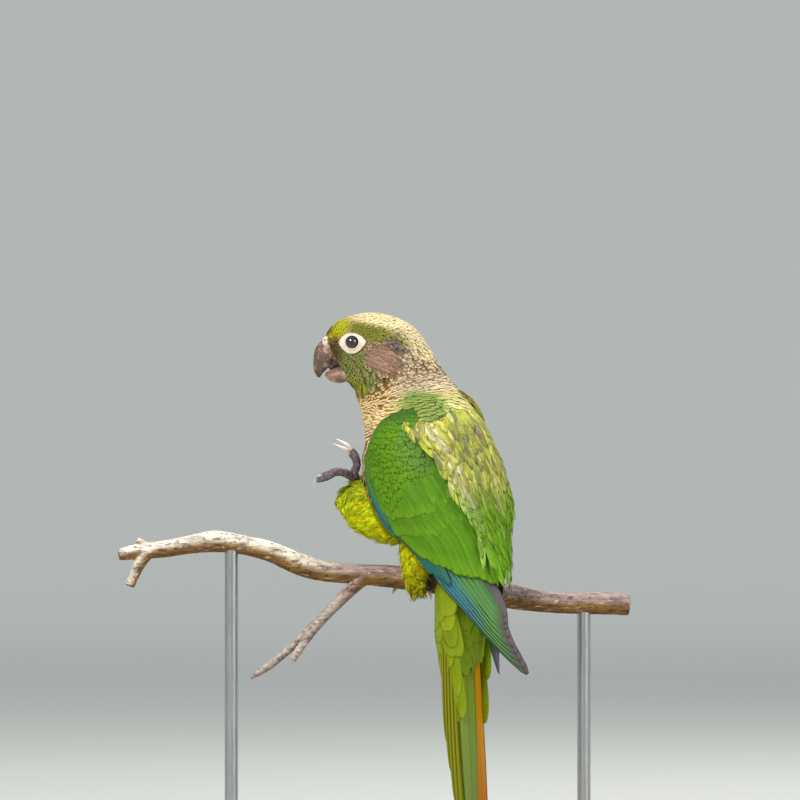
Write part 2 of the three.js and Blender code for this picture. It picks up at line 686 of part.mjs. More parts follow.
function shoulder({ sheet, out }) {
  const body = slab(sheet, {
    u: [0, 1], v: [0, SHOULDER_END], low: -5, high: COVERT_BAND[1], rim: 0.45, steps: [7, 7], out,
  });
  const feathers = row(COVERTS, (f) => vane(sheet, {
    root: [0.07 + 0.8 * f, SHOULDER_END - 0.55],
    tip: [0.08 + 0.79 * f, 3.35 + 0.25 * Math.sin(Math.PI * f)],
    wide: 9.4, lift: middle(COVERT_BAND), tilt: -0.14 * out, out,
  }));
  return fuse([body, ...feathers]);
}
function secondaries({ sheet, out }) {
  const root = slab(sheet, {
    u: [0.08, 0.96], v: [SHOULDER_END + 0.02, SHOULDER_END + 0.45],
    low: SECONDARY_BAND[0], high: SECONDARY_BAND[1], steps: [6, 1], out,
  });
  const feathers = row(SECONDARIES, (f) => vane(sheet, {
    root: [0.14 + 0.78 * f, SHOULDER_END + 0.15],
    tip: [0.2 + 0.68 * f, 4.25 + 1.15 * f ** 0.8],
    wide: 8.8, lift: middle(SECONDARY_BAND), tilt: -0.18 * out, out,
  }));
  return fuse([root, ...feathers]);
}
function primaries({ sheet, out }) {
  const root = slab(sheet, {
    u: [0.02, 0.62], v: [SHOULDER_END + 0.02, SHOULDER_END + 0.5],
    low: PRIMARY_BAND[0], high: PRIMARY_BAND[1], steps: [5, 1], out,
  });
  const feathers = row(PRIMARIES, (f) => vane(sheet, {
    root: [0.09 + 0.46 * f, SHOULDER_END + 0.2],
    tip: [0.42 + 0.46 * f, 8 - 1.55 * f ** 1.3],
    wide: 8.8, lift: middle(PRIMARY_BAND), tilt: -0.24 * out, outline: PADDLE, out,
  }));
  return fuse([root, ...feathers]);
}
const wingNodes = (side, tuck) => {
  const w = { sheet: wingSheet(side, tuck), out: -side };
  return {
    shoulder: shoulder(w).subtract(grownFlesh),
    secondaries: secondaries(w).subtract(grownFlesh),
    primaries: primaries(w).subtract(grownFlesh).subtract(grownBranch),
  };
};
const leftWing = wingNodes(1, 0);
const rightWing = wingNodes(-1, 14.6);

// Tail: a short stump with the long feathers in pairs, the middle pair on top
const TAIL_PAIRS = 6;
const TAIL_SHARES = [1, 0.96, 0.87, 0.77, 0.66, 0.56];
function tail() {
  const stump = slab(tailSheet, {
    u: [-7.5, 7.5], v: [-1, 9], low: -4.6, high: 1.6, steps: [4, 2],
  });
  const feathers = [];
  for (let k = 0; k < TAIL_PAIRS; k++) {
    for (const side of [1, -1]) {
      const length = TAIL_LENGTH * TAIL_SHARES[k];
      const start = k === 0 ? 1 : 3.3 + 0.35 * k;
      const spread = Math.sin(radians(0.7 + 0.75 * k));
      feathers.push(vane(tailSheet, {
        root: [side * start, 3],
        tip: [side * (start + length * spread), length],
        wide: k === 0 ? 11.5 : 8.4,
        lift: k === 0 ? 0.4 + 0.42 * side : 0.3 - FEATHER_PITCH * k,
      }));
    }
  }
  return fuse([stump, ...feathers]);
}

// Tail coverts: tiers of feathers on a root slab, each tier above the last by the rise, which
// is negative under the tail. The outer feathers of a tier are shorter and lie closer.
const COVERT_ROUNDING = 0.7;
const COVERT_CLOSING = 0.3;
function coverts({ root, lift, rise, drop = 0, tiers }) {
  const pieces = [slab(tailSheet, root)];
  tiers.forEach(({ count, spacing, wide, length }, t) => {
    for (let i = 0; i < count; i++) {
      const step = Math.abs(i - (count - 1) / 2);
      const across = (i - (count - 1) / 2) * spacing;
      pieces.push(vane(tailSheet, {
        root: [across * 0.8, 0],
        tip: [across * 0.9, length - step * spacing * COVERT_ROUNDING],
        wide,
        lift: lift + t * rise - Math.sign(rise) * step * COVERT_CLOSING,
        drop,
      }));
    }
  });
  return fuse(pieces);
}
const upperCoverts = coverts({
  root: { u: [-8, 8], v: [-4, 4], low: 2.2, high: 4.2, steps: [4, 2] },
  lift: 2.7,
  rise: 1.4,
  tiers: [
    { count: 5, spacing: 5.4, wide: 8.4, length: 37 },
    { count: 3, spacing: 5.6, wide: 8.6, length: 25 },
  ],
});
const underCoverts = coverts({
  root: { u: [-8, 8], v: [-4, 24], low: -12, high: -5, slope: 4, steps: [4, 4] },
  lift: -11.5,
  rise: -1,
  drop: 6,
  tiers: [
    { count: 3, spacing: 6.4, wide: 10, length: 40 },
  ],
});

// A node keeps its largest closed surface
function node(name, body, look) {
  const largest = body.decompose().reduce((a, b) => (b.volume() > a.volume() ? b : a));
  const mesh = largest.getMesh();
  const geometry = new THREE.BufferGeometry();
  geometry.setAttribute('position', new THREE.BufferAttribute(mesh.vertProperties, 3));
  geometry.setIndex(new THREE.BufferAttribute(mesh.triVerts, 1));
  geometry.computeVertexNormals();
  const made = new THREE.Mesh(geometry, look);
  made.name = name;
  return made;
}

const group = new THREE.Group();
const add = (name, body, look) => group.add(node(name, body, look));

add('head', head, CROWN_BUFF);
add('neck', neck, NECK_BUFF);
add('torso', torso, YELLOW_GREEN);
add('upper_bill', upperBill, BILL_HORN);
add('lower_bill', lowerBill, BILL_HORN);
add('tongue', tongue, FOOT_GREY);
add('eye_left', eyes.left, EYE_DARK);
add('eye_right', eyes.right, EYE_DARK);
for (const [side, w] of [['left', leftWing], ['right', rightWing]]) {
  add(`wing_${side}_shoulder`, w.shoulder, GREEN);
  add(`wing_${side}_secondaries`, w.secondaries, GREEN);
  add(`wing_${side}_primaries`, w.primaries, BLUE);
}
add('tail', tail().subtract(grownFlesh), TAIL_OLIVE);
add('tail_coverts_upper', upperCoverts.subtract(grownFlesh), YELLOW_GREEN);
add('tail_coverts_under', underCoverts.subtract(grownFlesh).subtract(grownBranch), YELLOW_GREEN);
add('thigh_left', leftThigh, YELLOW_GREEN);
add('thigh_right', rightThigh, YELLOW_GREEN);
add('leg_left', leftShank, FOOT_GREY);
add('leg_right', rightShank, FOOT_GREY);
add('foot_left', leftFoot, FOOT_GREY);
add('foot_right', rightFoot, FOOT_GREY);
GRIP_TOES.forEach((toe, i) => {
  const hook = i < 2 ? vector(0, -0.75, -0.1) : vector(0, 0.6, -0.3);
  add(`claw_left_${i + 1}`, claw(toe, 4.2, hook).subtract(grownBranch), CLAW_HORN);
});
RAISED_TOES.forEach((toe, i) => {
  const hook = i < 2 ? vector(0.5, 0, -0.6) : vector(-0.9, 0.2, 0.1);
  add(`claw_right_${i + 1}`, claw(toe, i < 2 ? 3.6 : 5, hook), CLAW_HORN);
});
add('perch', perchBody(), BARK);
add('perch_twig', limb(TWIG, 8, 8).add(limb(TWIG_LONG, 8, 8)).subtract(grownBranch), BARK);
add('stand_base', standBase(), STAND_BASE);
add('stand_rod_left', standRod(-ROD_SPREAD), STAND_METAL);
add('stand_rod_right', standRod(ROD_SPREAD), STAND_METAL);

export default group;
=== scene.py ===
import math

import bpy
import numpy as np
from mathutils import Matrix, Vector
from mathutils.bvhtree import BVHTree
from mathutils.kdtree import KDTree


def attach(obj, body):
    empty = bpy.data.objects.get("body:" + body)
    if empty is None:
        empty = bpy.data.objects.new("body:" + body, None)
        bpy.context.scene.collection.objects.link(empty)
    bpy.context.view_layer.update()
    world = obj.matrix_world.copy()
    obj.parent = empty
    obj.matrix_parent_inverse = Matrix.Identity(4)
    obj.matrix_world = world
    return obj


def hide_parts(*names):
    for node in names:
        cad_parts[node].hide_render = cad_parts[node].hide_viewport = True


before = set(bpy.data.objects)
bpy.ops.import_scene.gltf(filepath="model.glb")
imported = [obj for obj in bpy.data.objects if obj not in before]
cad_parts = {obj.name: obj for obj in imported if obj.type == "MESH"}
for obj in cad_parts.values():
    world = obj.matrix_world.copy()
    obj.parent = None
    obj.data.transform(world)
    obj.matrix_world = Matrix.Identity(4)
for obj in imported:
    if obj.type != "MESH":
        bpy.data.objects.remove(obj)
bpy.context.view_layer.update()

# A maroon-bellied parakeet as a museum model on a display stand. Sizes are in millimetres and
# turn into metres where a mesh is made. The head looks towards -X, and the camera looks along +Y.

MM = 0.001


# Colours and numbers

def tone(red, green, blue):
    """A colour as it shows on a screen, 0 to 255, in the linear values that a material takes."""
    parts = np.array([red, green, blue], float) / 255
    return np.where(parts <= 0.04045, parts / 12.92, ((parts + 0.055) / 1.055) ** 2.4)


def solid_tone(*shade):
    return (*tone(*shade), 1.0)


def ease(x, low, high):
    """0 below low, 1 above high, smooth between."""
    f = np.clip((np.asarray(x, float) - low) / (high - low), 0, 1)
    return f * f * (3 - 2 * f)


def towards(a, b, share):
    """The way from a to b by a share that may differ for each."""
    share = np.asarray(share, float)[..., None]
    return a + (b - a) * share


def through(rows, at):
    """A smooth value through a list of equally long rows, at places along the list."""
    rows = np.asarray(rows, float)
    at = np.asarray(at, float)
    last = len(rows) - 1
    i = np.clip(np.floor(at).astype(int), 0, last - 1)
    f = (at - i)[..., None]
    first = (i == 0)[..., None]
    final = (i + 2 > last)[..., None]
    b = rows[i]
    c = rows[i + 1]
    a = np.where(first, 2 * b - c, rows[np.maximum(i - 1, 0)])
    d = np.where(final, 2 * c - b, rows[np.minimum(i + 2, last)])
    curve = b + 0.5 * f * (c - a + f * (2 * a - 5 * b + 4 * c - d + f * (3 * b - a - 3 * c + d)))
    return np.where((f < 0) | (f > 1), b + (c - b) * f, curve)


def noise_at(points, scale, seed):
    """Smooth noise at many places, by a sum of waves in drawn directions."""
    draw = np.random.default_rng(seed)
    total = np.zeros(len(points))
    for octave in range(4):
        for _ in range(6):
            way = unit(draw.normal(0, 1, 3))
            total += np.sin(points @ way * scale * 2 ** octave + draw.uniform(0, 6.3)) / 2 ** octave
    return total / 12


def unit(vectors):
    return vectors / np.maximum(np.linalg.norm(vectors, axis=-1, keepdims=True), 1e-12)


def dot(a, b):
    return (a * b).sum(-1, keepdims=True)


# The bird's own directions

BODY_TURN = 38
PIVOT = (3, 6)


def place(forward, left, up, turn=BODY_TURN):
    """A place by how far it is forward and left of the line through the neck, and its height."""
    angle = np.radians(turn)
    c = np.cos(angle)
    s = np.sin(angle)
    x = PIVOT[0] - forward * c - left * s
    y = PIVOT[1] + forward * s - left * c
    return np.stack(np.broadcast_arrays(x, y, up), -1)


# Sections of the body from the vent to the face: front and back in the middle plane (forward,
# up), half width and the turn of the neck
FLESH = [
    (-23.5, 140.5, -34.5, 142.5, 8.5, 38),
    (-17.5, 146, -39, 151, 13.5, 38),
    (-8, 152.8, -42, 162, 18.5, 38),
    (3.5, 160.5, -43.4, 174, 22, 38),
    (12.5, 168.5, -42.3, 186, 24, 38),
    (18, 178, -39.5, 197.5, 25, 38),
    (21.5, 188, -36, 208.5, 25.2, 38),
    (22.5, 198.5, -31.8, 217, 24.8, 37),
    (23, 208, -27, 223, 23, 34),
    (24.6, 217, -22.3, 227, 20, 26),
    (25.8, 223.5, -16.5, 233.5, 17.5, 14),
    (27.8, 229, -11.8, 240, 15.6, 6),
    (29.6, 231.3, -7, 248, 14.4, 0),
    (30.8, 232.8, -0.5, 257, 14.2, 0),
    (32, 235.3, 8.5, 262, 13.9, 0),
    (33.2, 238, 20, 264, 13.2, 0),
    (34.4, 241, 30, 262, 11.6, 0),
    (35.8, 244, 36.5, 258.4, 9, 0),
    (38, 247.2, 40, 253.6, 5.2, 0),
]
FACE_ROW = len(FLESH) - 1
COAT_DEPTH = [(0, 1.2), (3, 2), (8, 1.8), (11, 1.3), (14, 0.8), (18, 0.35)]


def coat_depth(row):
    return np.interp(row, [r for r, _ in COAT_DEPTH], [d for _, d in COAT_DEPTH])


def flesh_at(row, angle, grow):
    r = through(FLESH, row)
    fs, fz, bs, bz, wide, turn = [r[..., k] for k in range(6)]
    depth = np.hypot(fs - bs, fz - bz) / 2
    c = np.cos(angle) * (1 + grow / depth)
    s = np.sin(angle) * (wide + grow)
    return place((fs + bs + c * (fs - bs)) / 2, s, (fz + bz + c * (fz - bz)) / 2, turn)


class Sheet:
    """A surface that feathers grow on. V runs from the head to the tail, the way they lie."""

    def __init__(self, point, out, ground=None):
        self.point = point
        self.out = out
        self.ground = ground

    def frame(self, u, v):
        step = 1e-3
        at = self.point(u, v)
        across = (self.point(u + step, v) - self.point(u - step, v)) / (2 * step)
        along = (self.point(u, v + step) - self.point(u, v - step)) / (2 * step)
        return at, across, along, unit(np.cross(across, along)) * self.out


def body_point(u, v):
    row = FACE_ROW - v
    return flesh_at(row, 2 * np.pi * u, -coat_depth(row))


BODY = Sheet(body_point, -1)

# Wings: rows from the shoulder to the tip by leading edge, middle and trailing edge, each as
# forward, left and up, and how far the row may be drawn in towards the tail
WING = [
    (3, 19.5, 218, -9.6, 19.6, 222, -17, 14, 223.4, 0),
    (8.5, 22.5, 201, -7, 27, 208, -24.6, 17, 212.8, 0),
    (9.3, 22.7, 187.5, -12, 27.5, 192, -33.6, 15.4, 198, 0),
    (-1, 24, 169.5, -22.5, 25.5, 175, -40.2, 13, 181, 0),
    (-17.4, 22.5, 155, -33, 21, 160, -44.6, 8, 165.2, 0.1),
    (-24.9, 19.5, 142, -38.5, 17, 146, -50, 6, 150, 0.3),
    (-36.4, 14, 129, -46, 11, 131.5, -54, 3.5, 135, 0.55),
    (-47.4, 9, 116.5, -53.5, 6.5, 119, -58.5, 2, 121, 0.8),
    (-62.4, 1.5, 101.4, -64, 0, 103, -65.6, -1.5, 105.6, 1),
]
RIGHT_TUCK = 14.6


def wing_sheet(side, tuck):
    def point(u, v):
        r = through(WING, v)
        a = ((1 - u) * (1 - 2 * u))[..., None]
        b = (4 * u * (1 - u))[..., None]
        c = (u * (2 * u - 1))[..., None]
        f = a * r[..., 0:3] + b * r[..., 3:6] + c * r[..., 6:9]
        return place(f[..., 0] + tuck * np.maximum(r[..., 9], 0), side * f[..., 1], f[..., 2])
    return Sheet(point, -side)


SHOULDER_LOW = -4.0
SHOULDER_TOP = 2.7


def shoulder_ground(u, v):
    """The height of the wing's flesh over its sheet, rounded off at its rim."""
    rim_u = np.clip((np.abs(2 * u - 1) - 0.5) / 0.45, 0, 1)
    rim_v = np.clip((0.7 - v) / 0.8, 0, 1)
    full = np.sqrt(np.clip(1 - rim_u ** 2, 0, 1)) * np.sqrt(np.clip(1 - rim_v ** 2, 0, 1))
    return SHOULDER_LOW + (SHOULDER_TOP - SHOULDER_LOW) * full - 1.5 * ease(v, 1.3, 2.8)


TAIL_ROOT = (-28.6, 139)
TAIL_TILT = 3.9
TAIL_ARCH = 0.008
TAIL_LENGTH = 122


def tail_point(across, down):
    c = math.cos(math.radians(TAIL_TILT))
    s = math.sin(math.radians(TAIL_TILT))
    sag = TAIL_ARCH * across * across
    return place(TAIL_ROOT[0] - down * s + sag, across, TAIL_ROOT[1] - down * c)


TAIL = Sheet(tail_point, 1)


def limb_sheet(places):
    """The surface of a round limb through places of x, y, z and radius, v along it."""
    def point(u, v):
        r = through(places, v)
        step = 0.02
        along = unit(through(places, v + step)[..., :3] - through(places, v - step)[..., :3])
        side = unit(np.cross(along, np.array([0, 0, 1.0])))
        up = np.cross(side, along)
        turn = 2 * np.pi * u[..., None]
        return r[..., :3] + r[..., 3:4] * (np.cos(turn) * side + np.sin(turn) * up)
    return Sheet(point, -1)


# Meshes

def mesh_of(name, points, quads, triangles=()):
    """A smooth mesh from arrays of points in millimetres and of faces."""
    quads = np.asarray(quads, int).reshape(-1, 4)
    triangles = np.asarray(triangles, int).reshape(-1, 3)
    corners = np.concatenate([quads.ravel(), triangles.ravel()])
    starts = np.concatenate([np.arange(len(quads)) * 4,
                             quads.size + np.arange(len(triangles)) * 3])
    mesh = bpy.data.meshes.new(name)
    mesh.vertices.add(len(points))
    mesh.vertices.foreach_set("co", (np.asarray(points) * MM).astype(np.float32).ravel())
    mesh.loops.add(len(corners))
    mesh.loops.foreach_set("vertex_index", corners.astype(np.int32))
    mesh.polygons.add(len(starts))
    mesh.polygons.foreach_set("loop_start", starts.astype(np.int32))
    mesh.update(calc_edges=True)
    mesh.shade_smooth()
    return mesh


def points_of(mesh):
    """The places of a mesh's points in millimetres."""
    at = np.zeros(len(mesh.vertices) * 3)
    mesh.vertices.foreach_get("co", at)
    return at.reshape(-1, 3) / MM


def linked(name, data):
    made = bpy.data.objects.new(name, data)
    bpy.context.scene.collection.objects.link(made)
    return made


def dress(made, look, nodes=()):
    """Gives a piece its material. It rides on the frame and may stand for CAD nodes."""
    made.data.materials.clear()
    made.data.materials.append(look)
    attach(made, "root")
    if nodes:
        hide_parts(*nodes)


def piece_of(name, mesh, look, nodes=()):
    dress(linked(name, mesh), look, nodes)


def select_none():
    for other in bpy.context.selected_objects:
        other.select_set(False)


def alone(made, *others):
    """Selects one object, and others that join it, and nothing else."""
    select_none()
    for each in (made, *others):
        each.select_set(True)
    bpy.context.view_layer.objects.active = made


def settle(made):
    """Puts an object's place and size into its mesh."""
    alone(made)
    bpy.ops.object.transform_apply(location=True, rotation=True, scale=True)


def primitive(name, add, **settings):
    select_none()
    add(**settings)
    made = bpy.context.active_object
    made.name = name
    settle(made)
    return made


def fused(parts, voxel, softness, rounds):
    """Parts joined to the first of them and blended into one closed surface."""
    whole = parts[0]
    alone(*parts)
    bpy.ops.object.join()
    merge = whole.modifiers.new("merge", "REMESH")
    merge.mode = "VOXEL"
    merge.voxel_size = voxel * MM
    soften = whole.modifiers.new("soften", "SMOOTH")
    soften.factor = softness
    soften.iterations = rounds
    alone(whole)
    for modifier in list(whole.modifiers):
        bpy.ops.object.modifier_apply(modifier=modifier.name)
    whole.data.shade_smooth()
    return whole


def colour_layer(mesh, name, colours, fourth=1.0):
    """A colour at each point, or one for all of them, with a fourth value beside it."""
    full = np.empty((len(mesh.vertices), 4), np.float32)
    full[:, :3] = np.reshape(colours, (-1, 3))
    full[:, 3] = np.ravel(fourth)
    layer = mesh.attributes.new(name, "FLOAT_COLOR", "POINT")
    layer.data.foreach_set("color", full.ravel())


def map_layer(mesh, name, places):
    """A flat map, given by point, at each corner of the mesh."""
    corners = np.zeros(len(mesh.loops), np.int32)
    mesh.loops.foreach_get("vertex_index", corners)
    layer = mesh.uv_layers.new(name=name)
    layer.data.foreach_set("uv", np.reshape(places, (-1, 2)).astype(np.float32)[corners].ravel())


def near_tree(places):
    """A tree that finds the nearest of many places."""
    tree = KDTree(len(places))
    for index, point in enumerate(places):
        tree.insert(point, index)
    tree.balance()
    return tree


def grid_faces(rows, columns, closed=False):
    """Faces between rows of points. In a closed grid the last column meets the first."""
    i = np.arange(rows - 1)[:, None] * columns
    j = np.arange(columns if closed else columns - 1)[None, :]
    k = (j + 1) % columns
    return np.stack([i + j, i + k, i + columns + k, i + columns + j], -1).reshape(-1, 4)


def outward(points, quads, triangles=np.zeros((0, 3), int)):
    """The same faces, turned so that they point out."""
    a, b, c = [points[quads[:, k]] - points.mean(0) for k in range(3)]
    if (a * np.cross(b, c)).sum() < 0:
        return quads[:, ::-1], triangles[:, ::-1]
    return quads, triangles


def tube_mesh(name, rings):
    """A tube through rings of points, closed at both ends by a middle point."""
    count, sides, _ = rings.shape
    ends = [rings[0].mean(0)[None], rings[-1].mean(0)[None]]
    points = np.concatenate([rings.reshape(-1, 3), *ends])
    quads = grid_faces(count, sides, closed=True)[:, [0, 3, 2, 1]]
    j = np.arange(sides)
    k = (j + 1) % sides
    first, last = count * sides, (count - 1) * sides
    start = np.stack([np.full(sides, first), j, k], -1)
    end = np.stack([np.full(sides, first + 1), last + k, last + j], -1)
    return mesh_of(name, points, *outward(points, quads, np.concatenate([start, end])))


def limb_rings(places, steps, sides, swell=None):
    """Rings round a limb. Swell changes the radius by the place along and round it."""
    v = np.linspace(0, len(places) - 1, steps + 1)[:, None]
    u = np.linspace(0, 1, sides, endpoint=False)[None, :]
    u, v = np.broadcast_arrays(u, v)
    middle = through(places, v)[..., :3]
    share = 1 if swell is None else swell(u, v)[..., None]
    return middle + (limb_sheet(places).point(u, v) - middle) * share


def along_tube(steps, sides):
    """How far along a tube each of its points lies, from 0 to 1."""
    return np.concatenate([np.repeat(np.linspace(0, 1, steps + 1), sides), [0, 1]])


def slimmer(places, by):
    return [(x, y, z, max(r - by, 0.5)) for x, y, z, r in places]


# Materials

class Mix:
    """A node tree, and the steps that mix masks and colours in it."""

    def __init__(self, tree, at=None):
        self.tree = tree
        self.at = at

    def put(self, kind, inputs=None, **settings):
        """A node with its settings, its inputs set or linked."""
        made = self.tree.nodes.new(kind)
        for name, value in settings.items():
            setattr(made, name, value)
        for name, value in (inputs or {}).items():
            if isinstance(value, bpy.types.NodeSocket):
                self.tree.links.new(value, made.inputs[name])
            else:
                made.inputs[name].default_value = value
        return made

    def reckon(self, operation, a, b=0.0, c=0.0):
        return self.put("ShaderNodeMath", {0: a, 1: b, 2: c}, operation=operation).outputs[0]

    def times(self, a, b):
        return self.reckon("MULTIPLY", a, b)

    def times_plus(self, a, b, c):
        return self.reckon("MULTIPLY_ADD", a, b, c)

    def less(self, a, b):
        return self.reckon("SUBTRACT", a, b)

    def mask(self, value, low, high):
        made = self.put("ShaderNodeMapRange", {"Value": value, "From Min": low, "From Max": high},
                        interpolation_type="SMOOTHSTEP")
        return made.outputs[0]

    def mixed(self, share, a, b, blend="MIX"):
        made = self.put("ShaderNodeMix", {0: share, 6: a, 7: b}, data_type="RGBA",
                        blend_type=blend)
        return made.outputs[2]

    def over(self, colour, share, strength, *cover):
        """A colour with another laid over it where a mask lets it through."""
        return self.mixed(self.times(share, strength), colour, solid_tone(*cover))

    def stretched(self, scale):
        return self.put("ShaderNodeMapping", {"Vector": self.at, "Scale": scale}).outputs[0]

    def grainy(self, scale, detail=3.0, roughness=0.55, stretch=None, place=None):
        """Noise at the piece's own places, at stretched ones or at a place that is given."""
        if stretch is not None:
            place = self.stretched(stretch)
        elif place is None:
            place = self.at
        made = self.put("ShaderNodeTexNoise", {"Vector": place, "Scale": scale, "Detail": detail,
                                               "Roughness": roughness})
        return made.outputs["Fac"]

    def cells(self, scale, output, feature="F1"):
        made = self.put("ShaderNodeTexVoronoi", {"Vector": self.at, "Scale": scale},
                        feature=feature)
        return made.outputs[output]

    def carried(self, name="Tint"):
        """The values that a piece carries at its points."""
        return self.put("ShaderNodeAttribute", attribute_name=name).outputs


class Finish(Mix):
    """A material, whose constants are set on its own shader's sockets."""

    def __init__(self, name, roughness, **constants):
        self.look = bpy.data.materials.new(name)
        self.look.use_nodes = True
        super().__init__(self.look.node_tree)
        self.sockets = self.tree.nodes["Principled BSDF"].inputs
        self.sockets["Roughness"].default_value = roughness
        for title, value in constants.items():
            self.sockets[title.replace("_", " ")].default_value = value
        self.at = self.put("ShaderNodeTexCoord").outputs["Object"]

    def done(self, colour, height=None, relief=0.0, roughness=None):
        """Joins colour, relief and roughness to the shader."""
        self.tree.links.new(colour, self.sockets["Base Color"])
        if roughness is not None:
            self.tree.links.new(roughness, self.sockets["Roughness"])
        if height is not None:
            made = self.put("ShaderNodeBump", {"Height": height, "Distance": relief * MM,
                                               "Strength": 1.0})
            self.tree.links.new(made.outputs[0], self.sockets["Normal"])
        return self.look


def effect(name, inputs, outputs):
    """An empty node group with named inputs and outputs."""
    tree = bpy.data.node_groups.new(name, "ShaderNodeTree")
    for title, kind in inputs:
        tree.interface.new_socket(title, in_out="INPUT", socket_type=kind)
    for title, kind in outputs:
        tree.interface.new_socket(title, in_out="OUTPUT", socket_type=kind)
    return Mix(tree), tree.nodes.new("NodeGroupInput"), tree.nodes.new("NodeGroupOutput")


FLOAT = "NodeSocketFloat"
COLOR = "NodeSocketColor"
VECTOR = "NodeSocketVector"


def vane_effect():
    """A feather's face: its edge, shaft, barbs and painted shade on its root, where the feathers
    over it cover it.
    """
    mix, start, end = effect(
        "Feather vane",
        [("Tint", COLOR), ("Rim", COLOR), ("Rim share", FLOAT), ("Feather place", VECTOR),
         ("Place", VECTOR), ("Barbs", FLOAT), ("Mottle", FLOAT), ("Root shade", FLOAT),
         ("Shaft", FLOAT), ("Side rim", FLOAT)],
        [("Color", COLOR), ("Height", FLOAT)])
    given = start.outputs
    mix.at = given["Place"]
    split = mix.put("ShaderNodeSeparateXYZ", {0: given["Feather place"]}).outputs
    side = mix.reckon("ABSOLUTE", mix.times_plus(split[0], 2.0, -1.0))
    along = split[1]
    reach = mix.reckon("MAXIMUM", mix.times_plus(along, 1.9, -0.9), 0.0)
    across = mix.times(mix.times(side, side), given["Side rim"])
    ring = mix.reckon("SQRT", mix.times_plus(reach, reach, across))
    edge = mix.times(mix.mask(ring, 0.56, 0.86), given["Rim share"])
    colour = mix.mixed(edge, given["Tint"], given["Rim"])
    speckle = mix.less(mix.grainy(1500.0, 2.0), 0.5)
    phase = mix.less(along, mix.times(side, 0.45))
    barbs = mix.reckon("SINE", mix.times(mix.times(phase, given["Barbs"]), 2 * math.pi))
    shaft = mix.less(1.0, mix.mask(side, 0.02, 0.1))
    light = mix.times_plus(mix.times(speckle, given["Mottle"]), 2.4, 1.0)
    light = mix.times_plus(barbs, 0.07, light)
    light = mix.less(light, mix.times(shaft, given["Shaft"]))
    # Painted shade: the root, which the feathers over it cover, is darkened by the root shade share.
    hidden = mix.times(mix.less(1.0, mix.mask(along, 0.02, 0.5)), given["Root shade"])
    light = mix.times(light, mix.less(1.0, hidden))
    shade = mix.put("ShaderNodeCombineColor", {0: light, 1: light, 2: light}).outputs[0]
    height = mix.times_plus(barbs, 0.3, mix.times(shaft, 1.6))
    mix.tree.links.new(mix.mixed(1.0, colour, shade, "MULTIPLY"), end.inputs["Color"])
    mix.tree.links.new(height, end.inputs["Height"])
    return mix.tree


VANE_EFFECT = vane_effect()


def plumage(name, roughness, barbs, mottle, root_shade, shaft, side_rim, relief):
    """The finish of a kind of feather. Each feather carries its own tint and rim."""
    made = Finish(name, roughness, Specular_IOR_Level=0.16)
    rim = made.carried("Rim")
    vane = made.put("ShaderNodeGroup", {
        "Tint": made.carried()["Color"], "Rim": rim["Color"], "Rim share": rim["Alpha"],
        "Feather place": made.put("ShaderNodeUVMap", uv_map="Feather").outputs[0],
        "Place": made.at, "Barbs": barbs, "Mottle": mottle, "Root shade": root_shade,
        "Shaft": shaft, "Side rim": side_rim}, node_tree=VANE_EFFECT).outputs
    return made.done(vane["Color"], vane["Height"], relief)


SOFT = plumage("Soft plumage", 0.75, 9, 0.22, 0.3, 0.04, 0.8, 0.03)
BARRED = plumage("Barred plumage", 0.75, 9, 0.25, 0.2, 0.03, 0.22, 0.03)
DOWNY = plumage("Downy plumage", 0.8, 5, 0.25, 0.35, 0.0, 0.8, 0.03)
SMOOTH = plumage("Wing plumage", 0.6, 20, 0.24, 0.03, 0.05, 0.5, 0.02)
FLIGHT = plumage("Flight plumage", 0.5, 60, 0.12, 0.05, 0.22, 0.8, 0.03)


def skin_look():
    made = Finish("Plumage underlayer", 0.85, Specular_IOR_Level=0.1)
    tint = made.carried()["Color"]
    fluff = made.grainy(900.0, 4.0)
    # The underlayer is darker in the hollows of its fluff: the down's own texture with painted shade
    # laid over it.
    dark = made.mixed(0.3, tint, (0.02, 0.017, 0.012, 1))
    return made.done(made.mixed(made.mask(fluff, 0.25, 0.8), dark, tint), fluff, 0.5)


def bare_look():
    made = Finish("Bare eye skin", 0.55, Subsurface_Weight=0.2,
                  Subsurface_Radius=(0.002, 0.001, 0.0008), Subsurface_Scale=0.4)
    wrinkle = made.grainy(2200.0)
    flush = made.mask(made.grainy(500.0, 2.0), 0.35, 0.7)
    colour = made.mixed(flush, solid_tone(238, 222, 206), solid_tone(214, 188, 168))
    return made.done(colour, wrinkle, 0.16)


def horn_look():
    made = Finish("Bill horn", 0.34, Coat_Weight=0.25, Coat_Roughness=0.3)
    tint = made.carried()["Color"]
    layers = made.grainy(700.0, 4.0, 0.6, (1, 1, 2.6))
    flakes = made.grainy(340.0, 4.0, 0.65)
    dark = made.mixed(0.62, tint, solid_tone(48, 32, 26))
    colour = made.mixed(made.mask(layers, 0.3, 0.75), dark, tint)
    colour = made.over(colour, made.mask(flakes, 0.54, 0.63), 0.5, 206, 172, 138)
    return made.done(colour, layers, 0.12, made.mask(flakes, -0.6, 1.6))


def claw_look():
    made = Finish("Claw horn", 0.35, Coat_Weight=0.2, Coat_Roughness=0.25)
    tint = made.carried()["Color"]
    streak = made.grainy(1600.0)
    dark = made.mixed(0.3, tint, solid_tone(90, 74, 70))
    return made.done(made.mixed(made.mask(streak, 0.3, 0.8), tint, dark), streak, 0.04)


def foot_look():
    made = Finish("Scaly foot skin", 0.55)
    tint = made.carried()["Color"]
    edges = made.cells(1150.0, "Distance", "DISTANCE_TO_EDGE")
    shade = made.cells(1150.0, "Color")
    level = made.put("ShaderNodeSeparateColor", {0: shade}).outputs[0]
    scale = made.mask(edges, 0.02, 0.16)
    pale = made.mixed(0.4, tint, solid_tone(176, 160, 176))
    dark = made.mixed(0.6, tint, solid_tone(30, 22, 24))
    return made.done(made.mixed(scale, dark, made.mixed(level, tint, pale)), scale, 0.14)


